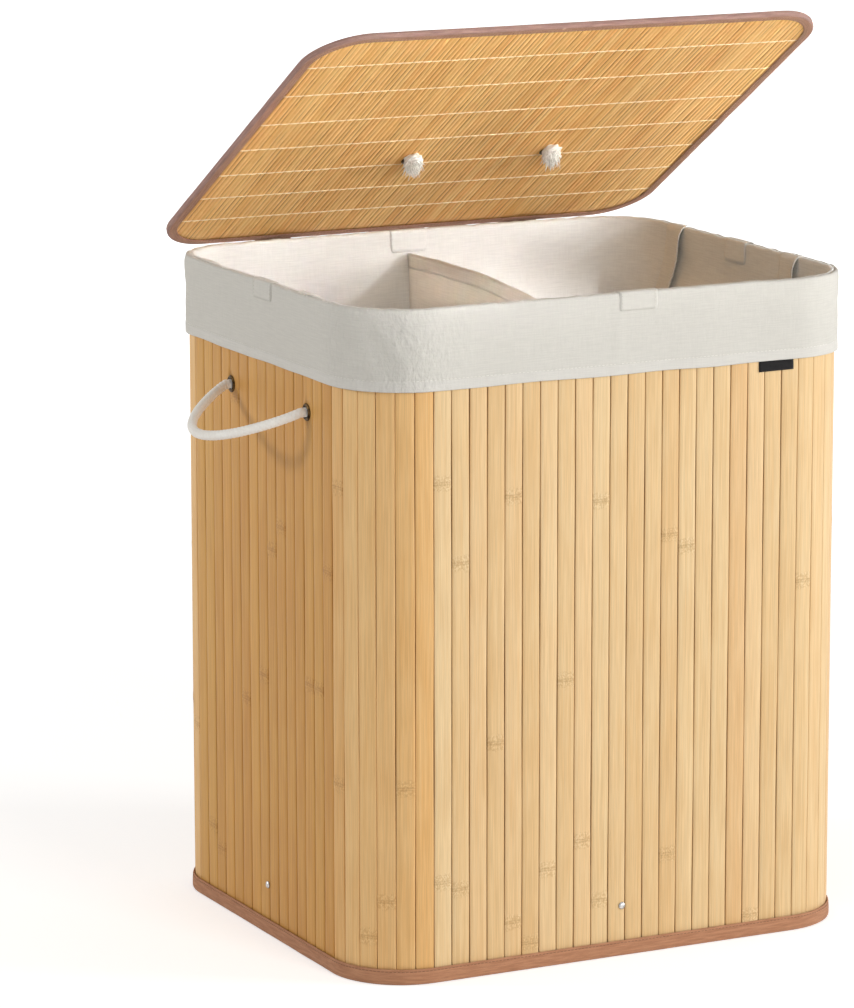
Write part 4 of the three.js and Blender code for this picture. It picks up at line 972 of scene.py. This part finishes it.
def loop_line(half, reach, droop_out, droop_down, pivot, out, down, along, tail):
    """The line of a handle from one hole round to the other, with a tail through each hole."""
    a = np.linspace(0, math.pi, 150)
    far = reach * np.sin(a) ** LOOP_PINCH
    across = -np.cos(a) * half
    line = (np.array(pivot) + np.array(along) * across[:, None] + np.array(out) * (far * droop_out)[:, None]
            + np.array(down) * (far * droop_down)[:, None])
    inward = -np.array(out)
    depth = np.linspace(tail, 0, 14, endpoint=False)
    first = line[0] + inward * depth[:, None]
    last = line[-1] + inward * depth[::-1][:, None]
    whole = np.concatenate([first, line, last])
    for _ in range(10):
        whole[1:-1] = (whole[:-2] + 2 * whole[1:-1] + whole[2:]) / 4
    run = run_along(whole)
    even = np.linspace(0, run[-1], int(run[-1] / 0.8))
    return np.stack([np.interp(even, run, whole[:, k]) for k in range(3)], 1)


def rope_piece(name, line, replaces):
    shape = Shape()
    tube(shape, line, ROPE, 30, pattern=braid)
    return shape.make(name, LOOK["rope"], None, replaces, "cotton_rope")


def side_rope(side, sign):
    pivot = (sign * (WIDTH / 2 + PIVOT_OUT), EYELET_Y, EYELET_Z)
    line = loop_line(EYELET_HALF, SIDE_REACH, math.cos(SIDE_DROOP), math.sin(SIDE_DROOP), pivot,
                     (sign, 0, 0), (0, 0, -1), (0, 1, 0), 12.0)
    piece = rope_piece(f"rope_{side}", line, [f"rope_handle_{side}"])
    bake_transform(piece)


def lid_rope():
    pivot = (LID_EYELET_X, LID_EYELET_Y, SLAT_OVER + PIVOT_OUT)
    line = loop_line(LID_EYELET_HALF, LID_REACH, math.sin(LID_LEAN), math.cos(LID_LEAN), pivot, (0, 0, 1),
                     (0, 1, 0), (1, 0, 0), 11.0)
    piece = rope_piece("rope_lid", lid_turned(line), ["rope_handle_lid"])
    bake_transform(piece)


for side_name, sign in ENDS.items():
    side_rope(side_name, sign)
lid_rope()


def lathe(shape, place, outline, sides):
    """A turned solid from [radius, out] pairs; place maps [x, out, z] rows to the frame."""
    outline = np.array(outline, float)
    angle = np.arange(sides) / sides * TAU
    points = np.stack([np.stack([r * np.cos(angle), np.full(sides, o), r * np.sin(angle)], -1) for r, o in outline])
    hoop = np.allclose(outline[0], outline[-1])
    shape.grid(place(points[:-1] if hoop else points), np.arange(sides + 1), run_along(outline), closed=True,
               flip=True, caps=not hoop, hoop=hoop)


def beside(side, along, height):
    """Maps [x, out, z] rows to a place on a wall's outer face."""
    def place(points):
        moved = np.stack([points[..., 0] + along, points[..., 1], points[..., 2] + height], -1)
        return on_side(moved, side)
    return place


def on_lid(x, y):
    """Maps [x, out, z] rows to a place on the lid's upper slat face, before it is turned open."""
    def place(points):
        flat = np.stack([points[..., 0] + x, y + points[..., 2], SLAT_OVER + points[..., 1]], -1)
        return lid_turned(flat)
    return place


def eyelet(name, place, t, body, replaces):
    """A pressed ring through a wall of thickness t: a rolled flange, a barrel and a turned washer inside."""
    outline = [(5.0, 0.9), (5.1, 1.35), (5.6, 1.7), (6.3, 1.65), (7.0, 1.25), (7.6, 0.75), (7.8, 0.35), (7.7, 0.12),
               (5.75, 0.1), (5.7, -t - 0.1), (7.6, -t - 0.15), (7.8, -t - 0.5), (7.4, -t - 0.95), (6.2, -t - 1.1),
               (5.3, -t - 1.15), (5.0, -t - 0.8), (5.0, 0.9)]
    shape = Shape()
    lathe(shape, place, outline[::-1], 36)
    shape.make(name, LOOK["brass"], body, replaces, "dark_brass")


SIDE_KNOT = {"size": (7.8, 5.2, 7.4), "sunk": 5.0, "drop": 0.0, "down": (0.0, 0.0, -1.0), "tuft": 5.0}
LID_KNOT = {"size": (8.3, 5.4, 10.2), "sunk": 2.9, "drop": 7.4,
            "down": (0.0, -math.cos(LID_OPEN), math.sin(LID_OPEN)), "tuft": 6.6}


def knot(name, place, thickness, body, replaces, seed, size, sunk, drop, down, tuft):
    """A stopper knot: a lumpy ball of turns with its cut end frayed out and hanging the way of down."""
    t = -thickness - 1.5
    rng = np.random.default_rng(seed)
    size, down, heart = np.array(size), np.array(down), np.array([0, t - sunk, -drop])
    shape = Shape()
    u, v = np.meshgrid(np.linspace(0, TAU, 40, endpoint=False), np.linspace(0.04, math.pi - 0.04, 26), indexing="xy")
    ball = np.stack([np.cos(u) * np.sin(v), -np.cos(v), np.sin(u) * np.sin(v)], -1)
    wrap = 0.10 * np.cos(5 * u + 3.5 * np.cos(v) * 2 + rng.uniform(0, TAU)) + 0.06 * np.cos(9 * v + 2 * np.sin(u))
    fuzz = 0.05 * ripple(ball.reshape(-1, 3) * 10, seed, 5).reshape(u.shape)
    ball = ball * (1 + wrap + fuzz)[..., None] * size + heart
    shape.grid(place(ball[::-1]), np.arange(41), np.linspace(0, 16, 26), closed=True, caps=True)
    stem = np.array([(0, y, 0) for y in np.linspace(t + 2.5, t - 4, 6)])
    tube(shape, place(stem), 4.0, 16)
    s = np.linspace(0, 1, 6)[:, None]
    for _ in range(220):
        way = rng.normal(size=3)
        way[1] = -abs(way[1]) * 1.2
        way = way / np.linalg.norm(way) + down * rng.uniform(0, 0.7)
        way /= np.linalg.norm(way)
        root = way * size * 0.84 + heart
        bend = rng.normal(size=3) * 0.3 + down * rng.uniform(0.5, 1.2)
        far = rng.uniform(0.5, 1.0) * tuft * (0.5 + 0.6 * max(0.0, way @ down))
        line = root + way * s * far * 0.6 + bend * s ** 1.6 * far
        line[:, 1] = np.minimum(line[:, 1], t - 0.8)
        tube(shape, place(line), 0.95 * np.array([0.46, 0.5, 0.48, 0.42, 0.34, 0.2]), 6)
    shape.make(name, LOOK["rope"], body, replaces, "cotton_rope")


for side_name, sign in ENDS.items():
    for place_name, way in (("front", -1), ("back", 1)):
        spot = beside(side_name, sign * (EYELET_Y + way * EYELET_HALF), EYELET_Z)
        key = f"{side_name}_{place_name}"
        eyelet(f"ring_{key}", spot, 3.5, "basket", [f"eyelet_{key}"])
        knot(f"stopper_{key}", spot, 3.5, "basket", [f"knot_{key}"], 200 + 10 * sign + way, **SIDE_KNOT)
for place_name, way in ENDS.items():
    spot = on_lid(LID_EYELET_X + way * LID_EYELET_HALF, LID_EYELET_Y)
    eyelet(f"ring_lid_{place_name}", spot, 3.0, "lid", [f"eyelet_lid_{place_name}"])
    knot(f"stopper_lid_{place_name}", spot, 3.0, "lid", [f"knot_lid_{place_name}"], 230 + way, **LID_KNOT)


def rivet(name, place, head, washer, body, replaces, wide=1.0, tail=True):
    """A domed rivet, its washer inside; head and washer are the faces that it holds together."""
    outline = [(0.02, head + 1.75), (0.9, head + 1.68), (1.7, head + 1.42), (2.35, head + 1.02), (2.8, head + 0.55),
               (2.92, head + 0.3), (2.85, head + 0.1), (1.7, head + 0.05), (1.7, washer)]
    outline = [(r * wide, h) for r, h in outline[:7]] + outline[7:]
    outline += [(3.9, washer - 0.05), (4.0, washer - 0.4), (3.7, washer - 0.8), (2.0, washer - 0.95),
                (0.02, washer - 0.95)] if tail else [(0.02, washer)]
    shape = Shape()
    lathe(shape, place, outline, 28)
    shape.make(name, LOOK["steel"], body, replaces, "steel")


for side_name, along in {"front": 5.5, "right": -6.0, "back": 0.0, "left": 6.0}.items():
    rivet(f"base_stud_{side_name}", beside(side_name, along, 46.0), 0.3, -7.0, "basket",
          [f"base_rivet_{side_name}"], wide=1.16)
HINGE_X = 130.0
for place_name, way in ENDS.items():
    x = way * HINGE_X
    rivet(f"hinge_stud_wall_{place_name}", beside("back", -x, 511.5), 2.4, -3.8, "basket",
          [f"hinge_rivet_wall_{place_name}"])
    rivet(f"hinge_stud_lid_{place_name}", on_lid(x, LID_REAR - 36), 3.4, -2.7, "lid",
          [f"hinge_rivet_lid_{place_name}"], tail=False)


# The lid: narrow slats sewn together by rows of thread, with a tape round the edge.
THREAD_ROWS = [376.3, 319.8, 261.5, 208.8, 155.2, 105.4, 56.2]
LID_INSET = 1.3
LID_MIDDLE = LID_REAR - LID_DEPTH / 2
LID_SPAN = LID_WIDTH - 2 * LID_INSET
LID_COUNT = round(LID_SPAN / LID_SLAT_PITCH)
LID_PITCH = LID_SPAN / LID_COUNT


def lid_slat_half(x):
    """Half the length of the lid's slat at x, inside the tape's fold."""
    into = min(abs(x) + LID_PITCH / 2, LID_SPAN / 2 - 0.3) - (LID_SPAN / 2 - (LID_CORNER - LID_INSET))
    radius = LID_CORNER - LID_INSET
    return LID_DEPTH / 2 - LID_INSET - (radius - math.sqrt(max(0.0, radius ** 2 - max(0.0, into) ** 2)))


def lid_slats():
    shape = Shape()
    holes = {LID_EYELET_X + way * LID_EYELET_HALF: (
        lid_turned(np.array([LID_EYELET_X + way * LID_EYELET_HALF, LID_EYELET_Y, 604.0])),
        (0, math.sin(LID_OPEN), math.cos(LID_OPEN))) for way in (-1, 1)}
    rng = np.random.default_rng(77)
    for i in range(LID_COUNT):
        x = (i + 0.5) * LID_PITCH - LID_SPAN / 2
        half = lid_slat_half(x)
        h = LID_PITCH / 2 - rng.uniform(0.0, 0.16)
        off, deep = rng.uniform(-0.8, 0.8), rng.uniform(0.05, 0.5)
        side = LID_PITCH / 2 + 0.12
        half_section = [(-side, 0.75), (-h + 0.12, 0.05), (-h / 2, -0.06), (off - 0.2, 0.0), (off, deep),
                        (off + 0.2, 0.0), (h / 2, -0.06), (h - 0.12, 0.05), (side, 0.75)]
        section = np.array(half_section + [(a, 3.0 - b) for a, b in half_section[::-1]])
        ys = np.linspace(LID_MIDDLE - half, LID_MIDDLE + half, 24)
        k = rng.uniform(0, TAU, 3)
        sway = 0.09 * np.sin(ys / 37 + k[0]) + 0.06 * np.sin(ys / 17 + k[1])
        up = 0.10 * np.sin(ys / 55 + k[2])
        points = np.stack([x + section[None, :, 0] + sway[:, None], np.broadcast_to(ys[:, None], (24, 18)),
                           SLAT_UNDER + section[None, :, 1] + up[:, None]], -1)
        u = np.concatenate([section[:, 0], section[:1, 0]])
        # A slat that a hole meets is bored on its own, so that the boolean never meets two that touch.
        near = [hole for at, hole in holes.items() if abs(at - x) < LID_PITCH / 2 + 6.5]
        one = Shape() if near else shape
        one.grid(lid_turned(points), u, ys, closed=True, mark=(float(rng.uniform()), off), caps=True, flip=True)
        if near:
            shape.take(bored(one.make("slat", [LOOK["bamboo_lid"]], None), near))
    shape.make("slats_lid", LOOK["bamboo_lid"], "lid", ["lid_slats"], "lid_bamboo")


def lid_threads():
    """Running stitches: each passes under one slat and over the next, so that a dash shows on each face."""
    shape = Shape()
    t = np.linspace(-0.48, 0.48, 7)
    lift = np.array([-0.25, 0.2, 0.32, 0.34, 0.32, 0.2, -0.25])
    for row in THREAD_ROWS:
        y = LID_REAR - row
        rng = np.random.default_rng(int(row))
        for i in range(LID_COUNT):
            x = (i + 0.5) * LID_PITCH - LID_SPAN / 2
            if abs(y - LID_MIDDLE) > lid_slat_half(x) - 9:
                continue
            for side, z in ((-1, SLAT_UNDER), (1, SLAT_OVER)):
                drift = rng.uniform(-0.25, 0.25, 2)
                line = np.column_stack([x + t * LID_PITCH, y + np.linspace(*drift, 7), z + side * lift])
                tube(shape, lid_turned(line), 0.62, 6)
    shape.make("threads_lid", LOOK["thread"], "lid", (), "cotton_rope")


def lid_place(points):
    """From places round the lid's middle, shut, to the frame, turned open."""
    moved = np.array(points, float)
    moved[..., 1] += LID_MIDDLE
    return lid_turned(moved)


lid_slats()
lid_threads()
band("lid_tape", ring(LID_WIDTH, LID_DEPTH, LID_CORNER, 6), [
    (-0.8, 602.0), (-0.8, 606.0), (-9.1, 605.9), (-9.5, 606.2), (-9.2, 606.5), (-7.7, 606.6), (-4, 606.65),
    (-2, 606.65), (-0.5, 606.4), (0.0, 605.6), (0.1, 604), (0.0, 602.4), (-0.5, 601.6), (-2, 601.35),
    (-4, 601.35), (-7.7, 601.4), (-9.2, 601.5), (-9.5, 601.8), (-9.1, 602.1)],
    [LOOK["tape_lid"], LOOK["tape_edge"]], "lid", ["lid_binding"], place=lid_place, seed=6, edge=-1.4)
lid_points, lid_normals, _ = ring(LID_WIDTH, LID_DEPTH, LID_CORNER, 3.4)
lid_origin = lid_place(np.zeros(3))
stitches("lid_tape_stitches", [
    (lid_place((p[0] - n[0] * back, p[1] - n[1] * back, 601.54)), lid_place((-n[1], n[0], 0)) - lid_origin,
     lid_place((0, 0, -1)) - lid_origin) for p, n in zip(lid_points, lid_normals) for back in (6.2, 8.4)],
    LOOK["tape_thread"], "lid", length=2.3, radius=0.22, slot="brown_tape")


# The small bare tab under the skirt's hem.
def label():
    rows = np.array([[(158 + a, 0.65 + 0.4 * (1 - smooth(518, 528, h)) + 0.25 * math.sin(a / 9), h + 0.012 * a)
                      for a in np.linspace(-17.5, 17.5, 15)] for h in np.linspace(518.7, 539, 10)])
    shape = Shape()
    shape.grid(on_side(rows, "front"), np.linspace(0, 35, 15), np.linspace(0, 20.3, 10))
    piece = shape.make("bare_tab", LOOK["black"], "basket", ["label_tab"], "black_tab")
    thicken(piece, 0.6)


label()


# CAD nodes that stay: each gets its finished material.
def map_by_place(mesh):
    """Gives a CAD node's mesh the UV map that the materials read, from its own places and face directions."""
    loops = values(mesh.loops, "vertex_index", 1, np.int32)[:, 0]
    at = values(mesh.vertices, "co", 3, np.float32)[loops] / MM
    sizes = values(mesh.polygons, "loop_total", 1, np.int32)[:, 0]
    n = np.abs(np.repeat(values(mesh.polygons, "normal", 3, np.float32), sizes, axis=0))
    u = np.where(n[:, 0] > 0.7, at[:, 1], at[:, 0])
    v = np.where(n[:, 2] > 0.7, at[:, 1], at[:, 2])
    layer = mesh.uv_layers.new(name="grain")
    layer.data.foreach_set("uv", np.column_stack([u, v]).astype(np.float32).ravel())


for look_name, node_names in {
        "tape": ["top_binding"], "board": ["base_board"], "steel": ["hinge_pin_left", "hinge_pin_right"],
        "hinge": ["hinge_lower_left", "hinge_lower_right", "hinge_upper_left", "hinge_upper_right"]}.items():
    for node_name in node_names:
        kept = frame["nodes"][node_name].data
        kept.materials.clear()
        kept.materials.append(LOOK[look_name])
        map_by_place(kept)


# Floor, lamps and background.
def floor():
    mesh = bpy.data.meshes.new("floor")
    mesh.from_pydata([(-14, -8, 0), (14, -8, 0), (14, 26, 0), (-14, 26, 0)], [], [(0, 1, 2, 3)])
    plane = bpy.data.objects.new("floor", mesh)
    plane.location.z = -0.0002
    bpy.context.scene.collection.objects.link(plane)
    m = Material("floor")
    away = m.node("VectorMath", 1, {"operation": "LENGTH"}, i0=m.node("NewGeometry", 0))
    m.finish(Base_Color=(0.88, 0.88, 0.88, 1), Roughness=1.0, Specular_IOR_Level=0.0, Emission_Color=(1, 1, 1, 1),
             Emission_Strength=m.times(m.seen(), m.between(away, 0.9, 3.5, 0.48, 1.0)))
    mesh.materials.append(m.owner)


def world():
    """White to the viewer, and a dimmer, slightly warm light for the things."""
    bpy.context.scene.world = bpy.data.worlds.new("world")
    w = Nodes(bpy.context.scene.world)
    out = w.tree.nodes.new("ShaderNodeOutputWorld")
    light = w.node("Background", 0, None, Color=(1.0, 0.995, 0.985, 1), Strength=0.42)
    white = w.node("Background", 0, None, Color=(1, 1, 1, 1), Strength=1.0)
    w.put(out.inputs[0], w.node("MixShader", 0, None, i0=w.seen(), i1=light, i2=white))


def lamp(name, toward, distance, size, power, color, aim=(0, 0, 0.4), high=None, spread=180):
    """A soft lamp in the direction toward, aimed at a point; a small spread keeps its light in a beam."""
    data = bpy.data.lights.new(name, "AREA")
    data.shape = "RECTANGLE"
    data.size, data.size_y, data.energy, data.color = size, high or size, power, color
    data.spread = math.radians(spread)
    made = bpy.data.objects.new(name, data)
    way = Vector(toward).normalized()
    made.location = Vector(aim) + way * distance
    made.rotation_mode = "QUATERNION"
    made.rotation_quaternion = way.to_track_quat("Z", "Y")
    bpy.context.scene.collection.objects.link(made)


floor()
world()
lamp("key", (0.80, -0.55, 0.22), 4.0, 1.1, 64, (1.0, 0.995, 0.985))
lamp("front", (0.15, -0.96, 0.24), 4.0, 1.2, 46, (1.0, 0.995, 0.985))
lamp("side", (-0.852, 0.426, 0.303), 4.0, 0.55, 42, (1.0, 0.98, 0.95))
lamp("low", (0.50, -0.865, -0.02), 3.2, 0.92, 0.54, (1.0, 0.99, 0.97), (-0.05, -0.02, 0.836), 0.37, 4)
lamp("inner", (0.42, -0.87, 0.26), 3.2, 0.74, 0.125, (0.95, 0.98, 1.0), (0.07, -0.10, 0.69), 0.16, 4)
lamp("bin", (-0.62, -0.76, 0.26), 2.4, 0.12, 0.026, (1.0, 0.98, 0.98), (0.0, 0.06, 0.560), 0.045, 2.6)
bpy.context.scene.view_settings.view_transform = "Standard"
